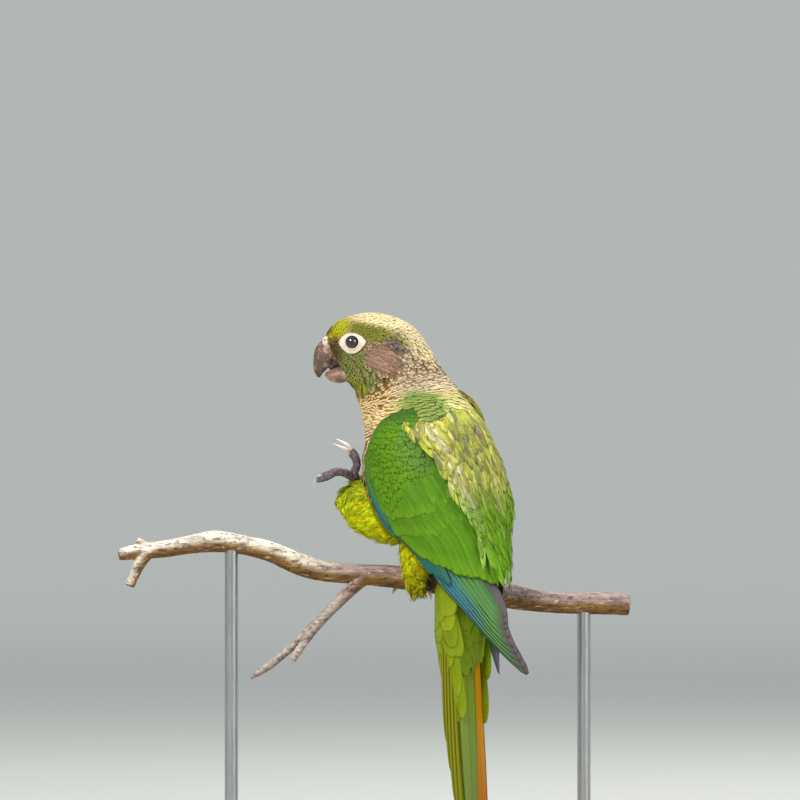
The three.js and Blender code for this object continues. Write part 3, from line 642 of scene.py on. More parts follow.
def eye_look():
    made = Finish("Eye", 0.08, Coat_Weight=1.0, Coat_Roughness=0.02)
    radius = made.put("ShaderNodeSeparateColor", {0: made.carried()["Color"]}).outputs[0]
    rays = made.grainy(2600.0, 2.0)
    iris = made.mixed(rays, solid_tone(22, 17, 20), solid_tone(62, 48, 46))
    colour = made.mixed(made.mask(radius, 0.56, 0.62), solid_tone(4, 4, 7), iris)
    colour = made.mixed(made.mask(radius, 0.80, 0.93), colour, solid_tone(14, 10, 12))
    return made.done(colour)


def bark_look():
    made = Finish("Weathered bark", 0.85, Specular_IOR_Level=0.2)
    tint = made.carried()["Color"]
    grain = made.grainy(420.0, 5.0, 0.7, (0.2, 1, 1))
    flecks = made.grainy(620.0, 4.0, 0.6, (0.3, 1, 1))
    pit = made.less(1.0, made.mask(made.cells(330.0, "Distance"), 0.1, 0.26))
    dark = made.mixed(0.66, tint, solid_tone(66, 48, 42))
    colour = made.mixed(made.mask(grain, 0.34, 0.62), dark, tint)
    colour = made.over(colour, made.mask(flecks, 0.56, 0.66), 0.75, 78, 56, 46)
    colour = made.over(colour, made.mask(flecks, 0.42, 0.3), 0.45, 240, 232, 218)
    colour = made.over(colour, pit, 0.5, 58, 42, 36)
    return made.done(colour, made.less(grain, made.times(pit, 0.4)), 0.8)


def wood_look():
    made = Finish("Stained walnut", 0.4, Coat_Weight=0.25, Coat_Roughness=0.25)
    sway = made.times(made.grainy(9.0, 2.0), 0.12)
    sway = made.put("ShaderNodeCombineXYZ", {1: sway})
    bent = made.put("ShaderNodeVectorMath",
                    {0: made.stretched((0.35, 3.2, 3.2)), 1: sway.outputs[0]}, operation="ADD")
    rings = made.grainy(26.0, 5.0, 0.6, place=bent.outputs[0])
    pores = made.grainy(1500.0, 2.0, 0.5, (0.08, 1, 1))
    colour = made.mixed(made.mask(rings, 0.32, 0.68), solid_tone(58, 36, 24),
                        solid_tone(112, 74, 48))
    fine = made.mask(pores, 0.56, 0.7)
    colour = made.over(colour, fine, 0.6, 34, 20, 14)
    return made.done(colour, pores, 0.06, made.times_plus(fine, 0.2, 0.36))


def steel_look():
    made = Finish("Brushed steel", 0.3, Metallic=1.0)
    lines = made.grainy(3000.0, 3.0, 0.6, (1, 1, 0.03))
    colour = made.mixed(lines, solid_tone(150, 150, 152), solid_tone(206, 206, 208))
    return made.done(colour, lines, 0.02, made.times_plus(lines, 0.22, 0.2))


SKIN = skin_look()
BARE = bare_look()
HORN = horn_look()
CLAW = claw_look()
FOOT = foot_look()
EYE = eye_look()
BARK = bark_look()
WOOD = wood_look()
STEEL = steel_look()


# Markings of the coat: the middle of each feather, its edge, and how much edge shows

CROWN_CREAM = (240, 216, 152), (255, 240, 200), 0.7
NAPE_SCALES = (142, 118, 90), (232, 212, 178), 0.82
CHEEK_GREEN = (116, 122, 64), (170, 168, 106), 0.75
THROAT_YELLOW = (140, 142, 34), (186, 178, 74), 0.65
FOREHEAD = (182, 180, 18), (214, 204, 56), 0.5
BROW_GREEN = (116, 122, 40), (170, 162, 80), 0.6
EAR_PATCH = (190, 146, 126), (244, 214, 192), 0.75
EAR_DARK = (104, 90, 86), (158, 142, 126), 0.6
LORES = (112, 90, 56), (146, 122, 74), 0.5
FRONTLET = (120, 44, 26), (140, 62, 34), 0.4
NECK_SCALES = (106, 78, 42), (234, 204, 146), 1.0
BREAST_SCALES = (134, 122, 50), (196, 182, 98), 0.55
BELLY_YELLOW = (176, 180, 8), (208, 206, 50), 0.5
BELLY_MAROON = (112, 36, 22), (138, 66, 30), 0.5
MANTLE = (150, 160, 56), (232, 222, 156), 0.9
RUMP = (104, 140, 30), (150, 168, 64), 0.7
SHOULDER = (92, 124, 46), (166, 172, 92), 0.6
VENT = (138, 148, 14), (162, 168, 40), 0.5


def spot(x, z, middle, reach, lean=0, soft=0.35):
    """1 inside an oval seen from the side, 0 outside it."""
    angle = math.radians(lean)
    dx = x - middle[0]
    dz = z - middle[1]
    a = (dx * math.cos(angle) + dz * math.sin(angle)) / reach[0]
    b = (-dx * math.sin(angle) + dz * math.cos(angle)) / reach[1]
    return 1 - ease(np.hypot(a, b), 1 - soft, 1 + soft)


def markings(row, side, x, z):
    """Tint, edge colour and edge share at places by row, by side from front 0 to back 1, and by
    where they lie as seen from the side."""
    count = len(row)
    tint = np.tile(tone(*NECK_SCALES[0]), (count, 1))
    rim = np.tile(tone(*NECK_SCALES[1]), (count, 1))
    share = np.full(count, NECK_SCALES[2])

    def lay(marking, weight):
        nonlocal tint, rim, share
        tint = towards(tint, tone(*marking[0]), weight)
        rim = towards(rim, tone(*marking[1]), weight)
        share = share + (marking[2] - share) * weight

    front = 1 - ease(side, 0.3, 0.5)
    back = ease(side, 0.42, 0.6)
    lay(BREAST_SCALES, (1 - ease(row, 6.2, 8)) * front)
    lay(BELLY_YELLOW, (1 - ease(row, 4.6, 6)) * (1 - back))
    lay(BELLY_MAROON, (1 - ease(side, 0.06, 0.16)) * ease(row, 0.8, 1.4) * (1 - ease(row, 2.6, 3.2)))
    lay(VENT, 1 - ease(row, 0.6, 1.8))
    lay(NAPE_SCALES, back * ease(row, 9.2, 10.4))
    lay(MANTLE, back * (1 - ease(row, 9, 10.2)))
    lay(RUMP, back * (1 - ease(row, 3.4, 5.6)))
    lay(SHOULDER, ease(side, 0.44, 0.6) * spot(x, z, (7, 225), (11, 6), -25, 0.4))
    head = ease(row, 10.9, 11.6)
    lay(NAPE_SCALES, head * (1 - spot(x, z, (-30, 242), (26, 14))))
    lay(CROWN_CREAM, head * spot(x, z, (-16, 263), (26, 7.5), 8, 0.3))
    lay(CROWN_CREAM, 0.8 * head * spot(x, z, (4, 254), (12, 6), -50, 0.4))
    lay(CHEEK_GREEN, head * spot(x, z, (-25, 239), (12, 10), 0, 0.3))
    lay(THROAT_YELLOW, head * spot(x, z, (-24, 230), (9, 5), -20, 0.4))
    lay(BROW_GREEN, head * spot(x, z, (-16.5, 254.6), (14.5, 3.6), -14, 0.4))
    lay(FOREHEAD, head * spot(x, z, (-33.6, 256.6), (6.6, 5), 35, 0.35))
    lay(EAR_PATCH, head * spot(x, z, (-12.6, 244), (7.6, 5.8), -8, 0.3))
    lay(EAR_DARK, head * spot(x, z, (-7.4, 250), (5.4, 2.6), -25, 0.3))
    lay(LORES, head * spot(x, z, (-33, 248.5), (3.2, 4), 0, 0.4))
    lay(FRONTLET, head * spot(x, z, (-37.6, 255), (2.8, 2.2), 40, 0.4))
    return tint, rim, share


# Forms of feathers: the place of each point across and along a feather, its height, and faces

class Form:
    """Each point is given by its place aside, height, place across and place along."""

    def __init__(self, points, quads, triangles, under=None):
        self.side, self.height, self.across, self.along = np.array(points, float).T
        self.quads = np.array(quads, int)
        self.triangles = np.array(triangles, int)
        faces = len(quads) + len(triangles)
        self.flat = np.zeros(faces, bool) if under is None else np.array(under)

    def pieces(self, name, points):
        """One mesh of this form's many copies, whose under faces are flat."""
        count = len(points)
        base = (np.arange(count) * len(self.side))[:, None, None]
        mesh = mesh_of(name, points.reshape(-1, 3), self.quads + base, self.triangles + base)
        split = len(self.quads)
        flat = np.concatenate([np.tile(self.flat[:split], count), np.tile(self.flat[split:], count)])
        mesh.polygons.foreach_set("use_smooth", ~flat)
        return mesh


BROAD = [(0, 0.3), (0.25, 0.8), (0.5, 1), (0.75, 0.95), (0.92, 0.66), (1, 0.26)]
BLADE = [(0, 0.5), (0.08, 0.72), (0.2, 0.86), (0.35, 0.95), (0.5, 1), (0.65, 1), (0.78, 0.97),
         (0.87, 0.86), (0.93, 0.7), (0.975, 0.46), (1, 0.16)]
LANCE = [(0, 0.62), (0.1, 0.85), (0.25, 0.98), (0.4, 1), (0.55, 0.95), (0.68, 0.86), (0.8, 0.72),
         (0.88, 0.58), (0.94, 0.42), (0.98, 0.25), (1, 0.08)]
SMALL = [(0, 0.35), (0.35, 0.9), (0.72, 1), (0.93, 0.7), (1, 0.3)]
FLAT = [(0, 0.35), (0.35, 0.85), (0.68, 1), (0.88, 0.96), (0.97, 0.76), (1, 0.45)]
ROUND = [(0, 0.4), (0.3, 0.85), (0.6, 1), (0.8, 0.94), (0.93, 0.66), (1, 0.3)]
POINTED = [(0, 0.4), (0.25, 0.85), (0.5, 1), (0.75, 0.85), (0.92, 0.5), (1, 0.15)]


def vane_form(outline, columns, fringe=0.0):
    """A closed, crowned vane. A fringe draws every other point of its end back a little."""
    points, triangles = [], []
    rows = len(outline)
    for i, (t, share) in enumerate(outline):
        for j in range(columns):
            s = 2 * j / (columns - 1) - 1
            notch = fringe * (j % 2) * (i >= rows - 2)
            points.append((s * share, 1 - s * s, s, t - notch))
    far = (rows - 1) * columns
    for j in range(1, columns - 1):
        triangles.append((0, j + 1, j))
        triangles.append((far, far + j, far + j + 1))
    under = ([False] * (columns - 1) + [True]) * (rows - 1) + [True] * 2 * (columns - 2)
    return Form(points, grid_faces(rows, columns, closed=True), triangles, under)


def tuft_form(strands, seed, spread=1.0):
    """Loose tapered strands from one root, as the open barbs of a downy feather."""
    draw = np.random.default_rng(seed)
    points, quads, triangles = [], [], []
    rings = [(0.0, 0.10, 0.25), (0.45, 0.12, 0.3), (0.8, 0.08, 0.2)]
    corners = ((0, 1), (1, 2), (2, 0))
    for k in range(strands):
        lean = (2 * k / max(strands - 1, 1) - 1) * spread + draw.uniform(-0.1, 0.1)
        reach = (1 - 0.22 * lean * lean) * draw.uniform(0.82, 1.0)
        raised = draw.uniform(0, 1.6)
        first = len(points)
        for t, wide, tall in rings:
            middle = lean * (0.12 + 0.88 * t ** 0.85)
            for ds, dh in ((-wide, 0), (wide, 0), (0, tall)):
                points.append((middle + ds, raised * t + dh, np.clip(middle + ds, -1, 1), t * reach))
        points.append((lean, raised, np.clip(lean, -1, 1), reach))
        for a in range(first, first + 3 * (len(rings) - 1), 3):
            quads += [(a + n, a + m, a + 3 + m, a + 3 + n) for m, n in corners]
        end = first + 3 * (len(rings) - 1)
        triangles += [(end + n, end + m, end + 3) for m, n in corners]
        triangles.append((first, first + 1, first + 2))
    return Form(points, quads, triangles)


def long_form(outline, columns, rows):
    """The same outline with more rows along it."""
    t = np.linspace(0, 1, rows) ** 0.9
    t = np.unique(np.concatenate([t, [x for x, _ in outline[-5:]]]))
    shares = np.interp(t, [x for x, _ in outline], [y for _, y in outline])
    return vane_form(list(zip(t, shares)), columns)


SCALE_FORM = vane_form(SMALL, 5, 0.12)
BODY_FORM = vane_form(BROAD, 9, 0.1)
BAR_FORM = vane_form(FLAT, 9, 0.05)
FLUFF_FORM = tuft_form(9, 5)
HAIR_FORM = tuft_form(5, 8, 0.8)
QUILL_FORM = long_form(BLADE, 11, 26)
TIER_FORM = long_form(BLADE, 9, 12)
COVERT_FORM = vane_form(ROUND, 7, 0.07)
TAIL_FORM = long_form(LANCE, 11, 30)
LANCE_SMALL = vane_form(POINTED, 9, 0.1)

BAKE_PATCH = 0.003


def steps_over(way, across, along):
    """How far u and v go for one millimetre over a sheet."""
    aa, ab, bb = dot(across, across), dot(across, along), dot(along, along)
    pa, pb = dot(way, across), dot(way, along)
    det = aa * bb - ab * ab
    return (pa * bb - pb * ab) / det, (pb * aa - pa * ab) / det


def feather_piece(name, form, places, tint, rim, share, patch, look, nodes):
    """One piece of many feathers, whose points carry their colours and places on two maps."""
    mesh = form.pieces(name, places)
    colour_layer(mesh, "Tint", np.broadcast_to(tint, places.shape))
    colour_layer(mesh, "Rim", np.broadcast_to(rim, places.shape),
                 np.broadcast_to(share, places.shape[:2]))
    vane = np.stack([form.side / 2 + 0.5, form.along], -1)
    map_layer(mesh, "OFBake", (vane - 0.5) * BAKE_PATCH + patch[:, None])
    map_layer(mesh, "Feather", np.tile(vane, (len(places), 1)))
    piece_of(name, mesh, look, nodes)


def grow(name, sheet, form, lot, look, slot, nodes=()):
    """One piece of many feathers. A lot gives each feather's root on the sheet (u, v), length,
    width, swirl in degrees, root and tip height, crown, colours and place on the unwrap. It may
    give how far the feather hangs straight down (pull) and how its height rises (sweep)."""
    lot = {"pull": 0, "sweep": 1, **lot}
    u, v = lot["u"], lot["v"]
    _, across, along, normal = sheet.frame(u, v)

    def given(key):
        return np.broadcast_to(np.asarray(lot[key], float), (len(u),))[:, None]

    swirl = np.radians(given("swirl"))
    down = np.array([0, 0, -1.0])
    pull = given("pull")
    straight = unit(unit(along) * (1 - pull) + (down - normal * dot(down, normal)) * pull)
    way = np.cos(swirl) * straight + np.sin(swirl) * np.cross(straight, normal)
    ahead = steps_over(way, across, along)
    beside = steps_over(np.cross(way, normal), across, along)
    go = given("length") * form.along
    aside = given("width") / 2 * form.side
    at_u = u[:, None] + ahead[0] * go + beside[0] * aside
    at_v = v[:, None] + ahead[1] * go + beside[1] * aside
    on, _, _, up = sheet.frame(at_u, at_v)
    low = given("root")
    tall = low + (given("tip") - low) * form.along ** given("sweep")
    tall = tall + given("crown") * form.height
    if sheet.ground is not None:
        tall = tall + sheet.ground(at_u, at_v)
    feather_piece(name, form, on + up * tall[..., None], lot["tint"][:, None], lot["rim"][:, None],
                  given("share"), lot["patch"], look, nodes)


def vary(draw, colours, light=0.12, hue=0.04):
    """Colours made a little lighter or darker, and warmer or cooler, feather by feather."""
    count = len(colours)
    shade = 1 + draw.normal(0, light, (count, 1))
    warm = draw.normal(0, hue, (count, 1)) * np.array([[1.0, 0.15, -1.0]])
    return np.clip(colours * np.clip(shade, 0.55, 1.5) * (1 + warm), 0, 1)


ROW_STEP = 0.72


def rows_on(sheet, start, stop, spacing, turns=1.0, u_start=0.0, seed=1, jitter=0.18):
    """Roots in staggered rows over a sheet. Spacing gives the distance by v."""
    draw = np.random.default_rng(seed)
    us, vs = [], []
    v = start
    odd = 0
    while v < stop:
        around = u_start + np.linspace(0, turns, 60)
        line = sheet.point(around, np.full(60, v))
        girth = np.linalg.norm(np.diff(line, axis=0), axis=1).sum()
        gap = spacing(v)
        count = max(int(round(girth / gap)), 2)
        u = u_start + (np.arange(count) + 0.5 * odd + 0.25) / count * turns
        us.append(u + draw.uniform(-jitter, jitter, count) * turns / count)
        _, _, along, _ = sheet.frame(around, np.full(60, v))
        run = np.linalg.norm(along, axis=1).mean()
        vs.append(np.full(count, v) + draw.uniform(-jitter, jitter, count) * 0.7 * gap / run)
        v += ROW_STEP * gap / run
        odd = 1 - odd
    return np.concatenate(us), np.concatenate(vs)


def scatter_on(sheet, u_range, v_range, gap, seed, tries=24000):
    """Roots no closer than a gap that depends on the place, spread evenly over a sheet."""
    draw = np.random.default_rng(seed)
    u = draw.uniform(*u_range, tries)
    v = draw.uniform(*v_range, tries)
    at, across, along, _ = sheet.frame(u, v)
    area = np.linalg.norm(np.cross(across, along), axis=1)
    keep = draw.uniform(0, area.max(), tries) < area
    u, v, at = u[keep], v[keep], at[keep]
    space = gap(u, v, at)
    cell = float(space.max())
    taken = {}
    chosen = []
    for index, (point, radius) in enumerate(zip(at, space)):
        key = tuple((point // cell).astype(int))
        near = (taken.get((key[0] + a, key[1] + b, key[2] + c), ())
                for a in (-1, 0, 1) for b in (-1, 0, 1) for c in (-1, 0, 1))
        if all(((at[k] - point) ** 2).sum() > radius * radius for bunch in near for k in bunch):
            taken.setdefault(key, []).append(index)
            chosen.append(index)
    return u[chosen], v[chosen]


# The eye, its bare ring and the line where the bill leaves the face

EYE_AT = (-25.2, 250.6)
EYE_RADIUS = 4.1
EYE_PROUD = 1.1
EYE_OPENING = 2.9
RING_REACH = [(0, 6.5), (15, 5.6), (45, 4.5), (90, 4), (135, 4.5), (160, 5.3), (180, 6.1),
              (200, 5.6), (225, 5.2), (262, 5.4), (305, 5.1), (335, 5.4), (360, 6.5)]
BILL_LINE = [(230, -27.5), (233, -28.6), (239, -31.4), (243.5, -33.4), (249, -36), (253, -37.8)]


def ring_reach(degrees):
    return np.interp(degrees % 360, [a for a, _ in RING_REACH], [r for _, r in RING_REACH])


def bare_face(x, z):
    """True where the eye's ring or the bill leaves no room for feathers."""
    dx, dz = x - EYE_AT[0], z - EYE_AT[1]
    near = np.hypot(dx, dz) < ring_reach(np.degrees(np.arctan2(dz, dx))) - 0.25
    line = np.interp(z, [a for a, _ in BILL_LINE], [b for _, b in BILL_LINE])
    return near | ((x < line) & (z < 252.5))


def body_tree():
    """The body's own surface, to set things on by a ray from the side."""
    u, v = np.meshgrid(np.linspace(0, 1, 97), np.linspace(0, 9, 121))
    at = flesh_at(FACE_ROW - v, 2 * np.pi * u, 0)
    return BVHTree.FromPolygons([Vector(p) for p in at.reshape(-1, 3)],
                                grid_faces(*u.shape).tolist())


BODY_TREE = body_tree()


def head_side(x, z, side):
    """The place on the head's left (1) or right (-1) side, seen from that side."""
    hit = BODY_TREE.ray_cast(Vector((x, -60.0 * side, z)), Vector((0, side, 0)))
    return hit[0].y if hit[0] is not None else PIVOT[1]


# The body's skin

SKIN_GRAIN = 0.9


def body_skin():
    """One closed skin round head, neck, torso and thighs, with the coat's markings."""
    u, v = np.meshgrid(np.linspace(0, 1, 72, endpoint=False), np.linspace(0, FACE_ROW, 110))
    parts = [linked("skin", tube_mesh("skin", body_point(u, v)))]
    for name, places in (("lobe_left", LEFT_THIGH), ("lobe_right", RIGHT_THIGH)):
        parts.append(linked(name, tube_mesh(name, limb_rings(slimmer(places, 1.6), 40, 32))))
    skin = fused(parts, SKIN_GRAIN, 0.5, 6)
    at = points_of(skin.data)
    u, v = np.meshgrid(np.linspace(0, 1, 64, endpoint=False), np.linspace(0, FACE_ROW, 150))
    tree = near_tree(body_point(u, v).reshape(-1, 3))
    nearest = [tree.find(point)[1] for point in at]
    row = FACE_ROW - v.ravel()[nearest]
    tint, rim, _ = markings(row, side_of(u.ravel()[nearest]), at[:, 0], at[:, 2])
    # The skin takes the coat's colours, made a fifth darker as painted shade where it shows between
    # the feathers.
    colour_layer(skin.data, "Tint", towards(tint, rim, 0.35) * 0.8)
    dress(skin, SKIN, ("head", "neck", "torso", "thigh_left", "thigh_right"))


LEFT_THIGH = [(9, 0, 174, 10), (6.2, -2.6, 165, 9), (3.8, -5.6, 155, 6.8), (3.2, -7.8, 146, 5.2),
              (4.6, -8.4, 137.5, 2.6)]
RIGHT_THIGH = [(8, 9, 170, 8), (-3, 12.6, 173.4, 14.2), (-13, 13, 176.4, 13.8),
               (-21.8, 13, 178.6, 11.4), (-28, 13.4, 179, 6.2), (-30.6, 13.6, 179, 2)]


# The coat

def side_of(u):
    return 1 - np.abs(2 * (u % 1) - 1)


def body_lot(u, v, draw):
    """Colours and places of feathers on the body."""
    at = BODY.point(u, v)
    tint, rim, share = markings(FACE_ROW - v, side_of(u), at[:, 0], at[:, 2])
    patch = np.stack([0.02 + 0.66 * (u % 1), 0.02 + 0.96 * v / FACE_ROW], -1)
    return at, dict(u=u, v=v, tint=vary(draw, tint), rim=vary(draw, rim, 0.07, 0.02), share=share,
                    patch=patch)


def hidden_by_wing(at, reach):
    """True for places that a folded wing covers."""
    u, v = np.meshgrid(np.linspace(0.12, 0.86, 18), np.linspace(0.35, 6, 60))
    hidden = np.zeros(len(at), bool)
    for sheet in WINGS.values():
        tree = near_tree(sheet.point(u.ravel(), v.ravel()))
        hidden |= np.array([tree.find(point)[2] < reach for point in at])
    return hidden


def picked(lot, chosen):
    return {key: value[chosen] if np.ndim(value) else value for key, value in lot.items()}


def changed(lot, longer=1, wider=1, higher=0, **others):
    """A lot whose feathers are longer, wider or higher, and whatever else is given."""
    return {**lot, "length": lot["length"] * longer, "width": lot["width"] * wider,
            "tip": lot["tip"] + higher, **others}


def head_coat():
    """Small scales on face and crown, soft hair on the ears and loose down on the nape."""
    draw = np.random.default_rng(11)

    def gap(u, v, at):
        eye = np.hypot(at[:, 0] - EYE_AT[0], at[:, 2] - EYE_AT[1])
        cheek = spot(at[:, 0], at[:, 2], (-25, 237), (11, 9), 0, 0.3)
        return 0.5 + 0.34 * ease(eye, 5, 15) + 0.14 * cheek + 0.7 * ease(v, 4, 7.4)

    u, v = scatter_on(BODY, (0, 1), (-0.1, 7.45), gap, 12, 90000)
    at = BODY.point(u, v)
    keep = ~bare_face(at[:, 0], at[:, 2])
    u, v = u[keep], v[keep]
    at, lot = body_lot(u, v, draw)
    space = gap(u, v, at)
    count = len(u)
    lot.update(length=space * draw.uniform(2.6, 3.3, count), width=space * 1.5,
               swirl=draw.normal(0, 9, count), root=-0.1,
               tip=0.3 + 0.4 * space + draw.uniform(0, 0.12, count) + 0.5 * ease(v, 5.6, 7.2),
               crown=0.1 * space, sweep=0.8)
    ear = spot(at[:, 0], at[:, 2], (-12.6, 244), (8.4, 6), -12, 0.3)
    chosen = ear + draw.uniform(-0.45, 0.45, count) > 0.5
    face = ~chosen & (v < 4.6) & (at[:, 2] > 246)
    grow("coat_face", BODY, SCALE_FORM, picked(lot, face), SOFT, "feathers_crown")
    grow("coat_crown", BODY, SCALE_FORM, picked(lot, ~chosen & ~face), BARRED, "feathers_crown")
    soft = picked(lot, chosen)
    soft = changed(soft, 1.7, 0.9, swirl=soft["swirl"] - 24 * np.sign(0.5 - soft["u"]))
    grow("coat_ears", BODY, HAIR_FORM, soft, DOWNY, "feathers_crown")
    nape = ~chosen & (v > 4.2) & (side_of(u) > 0.45) & (draw.uniform(0, 1, count) < 0.3)
    loose = picked(lot, nape)
    loose = changed(loose, 1.5, 1.2, draw.uniform(0.1, 0.7, nape.sum()), tint=loose["rim"])
    grow("coat_nape_down", BODY, HAIR_FORM, loose, DOWNY, "feathers_crown")


def neck_coat():
    """Broad short feathers in close rows, whose edges make the neck's wavy bars."""
    draw = np.random.default_rng(21)
    gap = lambda v: 1.56 + 0.24 * (v - 7)
    u, v = rows_on(BODY, 7, 10.4, gap, seed=22, jitter=0.1)
    at, lot = body_lot(u, v, draw)
    space = gap(v)
    near = near_wing_top(at)
    lot.update(length=space * draw.uniform(2.5, 2.8, len(u)) + 2 * near, width=space * 2.2,
               swirl=draw.normal(0, 5, len(u)), root=0.2,
               tip=1.3 - 0.5 * (1 - ease(v, 7, 7.8)) + draw.uniform(-0.1, 0.3, len(u)) + 2.2 * near,
               crown=0.22, sweep=0.9)
    grow("coat_neck", BODY, BAR_FORM, lot, BARRED, "feathers_neck")


def torso_coat():
    """Feathers on breast, flanks and belly, with loose down on the lower front."""
    draw = np.random.default_rng(31)
    gap = lambda v: 2.5 + 0.2 * np.minimum(v - 9.6, 6)
    u, v = rows_on(BODY, 10.2, 17.9, gap, seed=32)
    at = BODY.point(u, v)
    keep = ~hidden_by_wing(at, 5.5) & ~((side_of(u) > 0.62) & (v > 10.8) & (v < 14.5))
    u, v = u[keep], v[keep]
    at, lot = body_lot(u, v, draw)
    space = gap(v)
    count = len(u)
    near = near_wing_top(at)
    puff = breast_puff(u, v)
    lot.update(length=space * draw.uniform(2.4, 3, count) + 2 * near + 2 * puff,
               width=space * 1.4, swirl=draw.normal(0, 9, count), root=0.3 + 1.2 * puff,
               tip=1.5 + draw.uniform(-0.1, 0.3, count) + 2.2 * near + 2.6 * puff, crown=0.2,
               sweep=0.9)
    grow("coat_torso", BODY, BODY_FORM, lot, SOFT, "feathers_body")
    loose = (side_of(u) < 0.62) & (v > 10.9)
    down = picked(lot, loose)
    down = changed(down, 1.3, higher=0.5 + 0.9 * ease(down["v"], 12, 14.5),
                   u=down["u"] + draw.uniform(-0.006, 0.006, loose.sum()))
    grow("coat_belly", BODY, FLUFF_FORM, down, DOWNY, "feathers_body")


def breast_puff(u, v):
    """1 on the loose breast over the raised leg's root, on both sides."""
    turn = np.minimum(u % 1, 1 - u % 1)
    return (1 - ease(np.abs(turn - 0.09), 0.05, 0.17)) * (1 - ease(np.abs(v - 12), 0.7, 2.2))


def near_wing_top(at):
    """1 next to the top of a folded wing, where the coat laps over it, 0 further off."""
    near = np.zeros(len(at))
    across = np.linspace(0.1, 0.9, 20)
    for sheet in WINGS.values():
        rim = sheet.point(across, np.full(20, -0.05))
        away = np.linalg.norm(at[:, None] - rim[None], axis=-1).min(1)
        near = np.maximum(near, 1 - ease(away, 3, 10))
    return near


def thigh_coat(name, places, seed, start, stop):
    """A thigh's loose feathers, which hang and end in open barbs."""
    draw = np.random.default_rng(seed)
    sheet = limb_sheet(slimmer(places, 1.8))
    gap = lambda u, v, at: np.full(len(u), 1.6)
    u, v = scatter_on(sheet, (0, 1), (start, stop), gap, seed + 1, 12000)
    count = len(u)
    at = sheet.point(u, v)
    green = ease(at[:, 2], 176, 190)
    tint = towards(tone(230, 234, 6), tone(142, 166, 30), green)
    tint = towards(tint, tone(176, 168, 8), 1 - ease(at[:, 2], 140, 168))
    tint = vary(draw, tint, 0.16, 0.1)
    rim = towards(tint, tone(222, 216, 70), 0.5)
    patch = np.stack([0.7 + 0.12 * u, 0.05 + 0.9 * v / len(places)], -1)
    lot = dict(u=u, v=v, tint=tint, rim=vary(draw, rim, 0.08), share=0.5, patch=patch,
               length=draw.uniform(5.5, 8, count), width=3.2, swirl=draw.normal(0, 14, count),
               root=0.1, tip=1.7 + draw.uniform(0, 0.8, count), crown=0.25,
               pull=0.35 + 0.6 * ease(v, 2.2, 4), sweep=0.8)
    grow(name, sheet, BODY_FORM, lot, SOFT, "feathers_body")
    loose = changed(lot, draw.uniform(1, 1.5, count), higher=draw.uniform(0.2, 2, count),
                    width=3.8, u=u + draw.uniform(-0.02, 0.02, count))
    grow(name + "_down", sheet, FLUFF_FORM, loose, DOWNY, "feathers_body")


# Wings

WINGS = {"left": wing_sheet(1, 0), "right": wing_sheet(-1, RIGHT_TUCK)}
WING_GREEN = tone(88, 136, 8)
WING_EDGE = tone(118, 160, 30)
WING_SHADE = tone(62, 108, 20)


def wing_flesh(side, sheet):
    """The wing's closed body from the shoulder to the roots of its long feathers."""
    u, v = np.meshgrid(np.linspace(0.04, 0.97, 34), np.linspace(-0.08, 2.7, 44))
    at, _, _, normal = sheet.frame(u, v)
    top = at + normal * shoulder_ground(u, v)[..., None]
    low = at + normal * (SHOULDER_LOW - 0.6)
    rows, columns = u.shape
    upper = grid_faces(rows, columns)
    under = upper[:, ::-1] + rows * columns
    border = np.concatenate([np.arange(columns), columns * np.arange(1, rows) + columns - 1,
                             (rows - 1) * columns + np.arange(columns - 2, -1, -1),
                             columns * np.arange(rows - 2, 0, -1)])
    after = np.roll(border, -1)
    wall = np.stack([after, border, border + rows * columns, after + rows * columns], -1)
    points = np.concatenate([top.reshape(-1, 3), low.reshape(-1, 3)])
    quads = np.concatenate([upper, under, wall])
    mesh = mesh_of(f"wing_{side}_flesh", points, *outward(points, quads))
    # The wing's flesh is its darker green made a fifth darker again, as painted shade where it shows
    # between the coverts.
    colour_layer(mesh, "Tint", WING_SHADE * 0.8)
    piece_of(f"wing_{side}_flesh", mesh, SKIN, (f"wing_{side}_shoulder",))


def wing_patch(side, u, v):
    shift = 0.70 if side == "left" else 0.85
    return np.stack([shift + 0.13 * np.clip(u, 0, 1), 0.02 + 0.11 * np.clip(v, 0, 8.5)], -1)


def covert_coat(side, sheet):
    """Small coverts over the shoulder in rows, longer towards the long feathers."""
    draw = np.random.default_rng(41)
    over = Sheet(sheet.point, sheet.out, shoulder_ground)
    gap = lambda v: 1.7 + 0.6 * np.clip(v, 0, 2.4)
    u, v = rows_on(over, -0.02, 2.4, gap, 0.87, 0.07, seed=42, jitter=0.3)
    count = len(u)
    space = gap(v)
    cloud = noise_at(over.point(u, v), 0.22, 43)
    tint = towards(WING_SHADE, WING_GREEN, ease(cloud, -0.7, 0.1))
    grey = ease(u + 0.3 * cloud, 0.5, 0.8) * ease(v, 0.25, 0.9)
    tint = towards(tint, tone(96, 124, 76), 0.5 * grey)
    top = (1 - ease(v, 0.1, 0.6)) * ease(u, 0.1, 0.45)
    tint = towards(tint, tone(52, 90, 36), top)
    rim = towards(tint, WING_EDGE, 0.5)
    lot = dict(u=u, v=v, tint=vary(draw, tint, 0.05, 0.03), rim=vary(draw, rim, 0.05), share=0.5,
               patch=wing_patch(side, u, v), length=space * draw.uniform(2.9, 3.7, count),
               width=space * 1.5, swirl=draw.normal(0, 6, count), root=-0.1,
               tip=0.16 + draw.uniform(0, 0.07, count), crown=0.06)
    grow(f"wing_{side}_coverts", over, COVERT_FORM, lot, SMOOTH, "feathers_wing")


SHAFT_WIDTH = 0.09
SHAFT_HEIGHT = 0.22


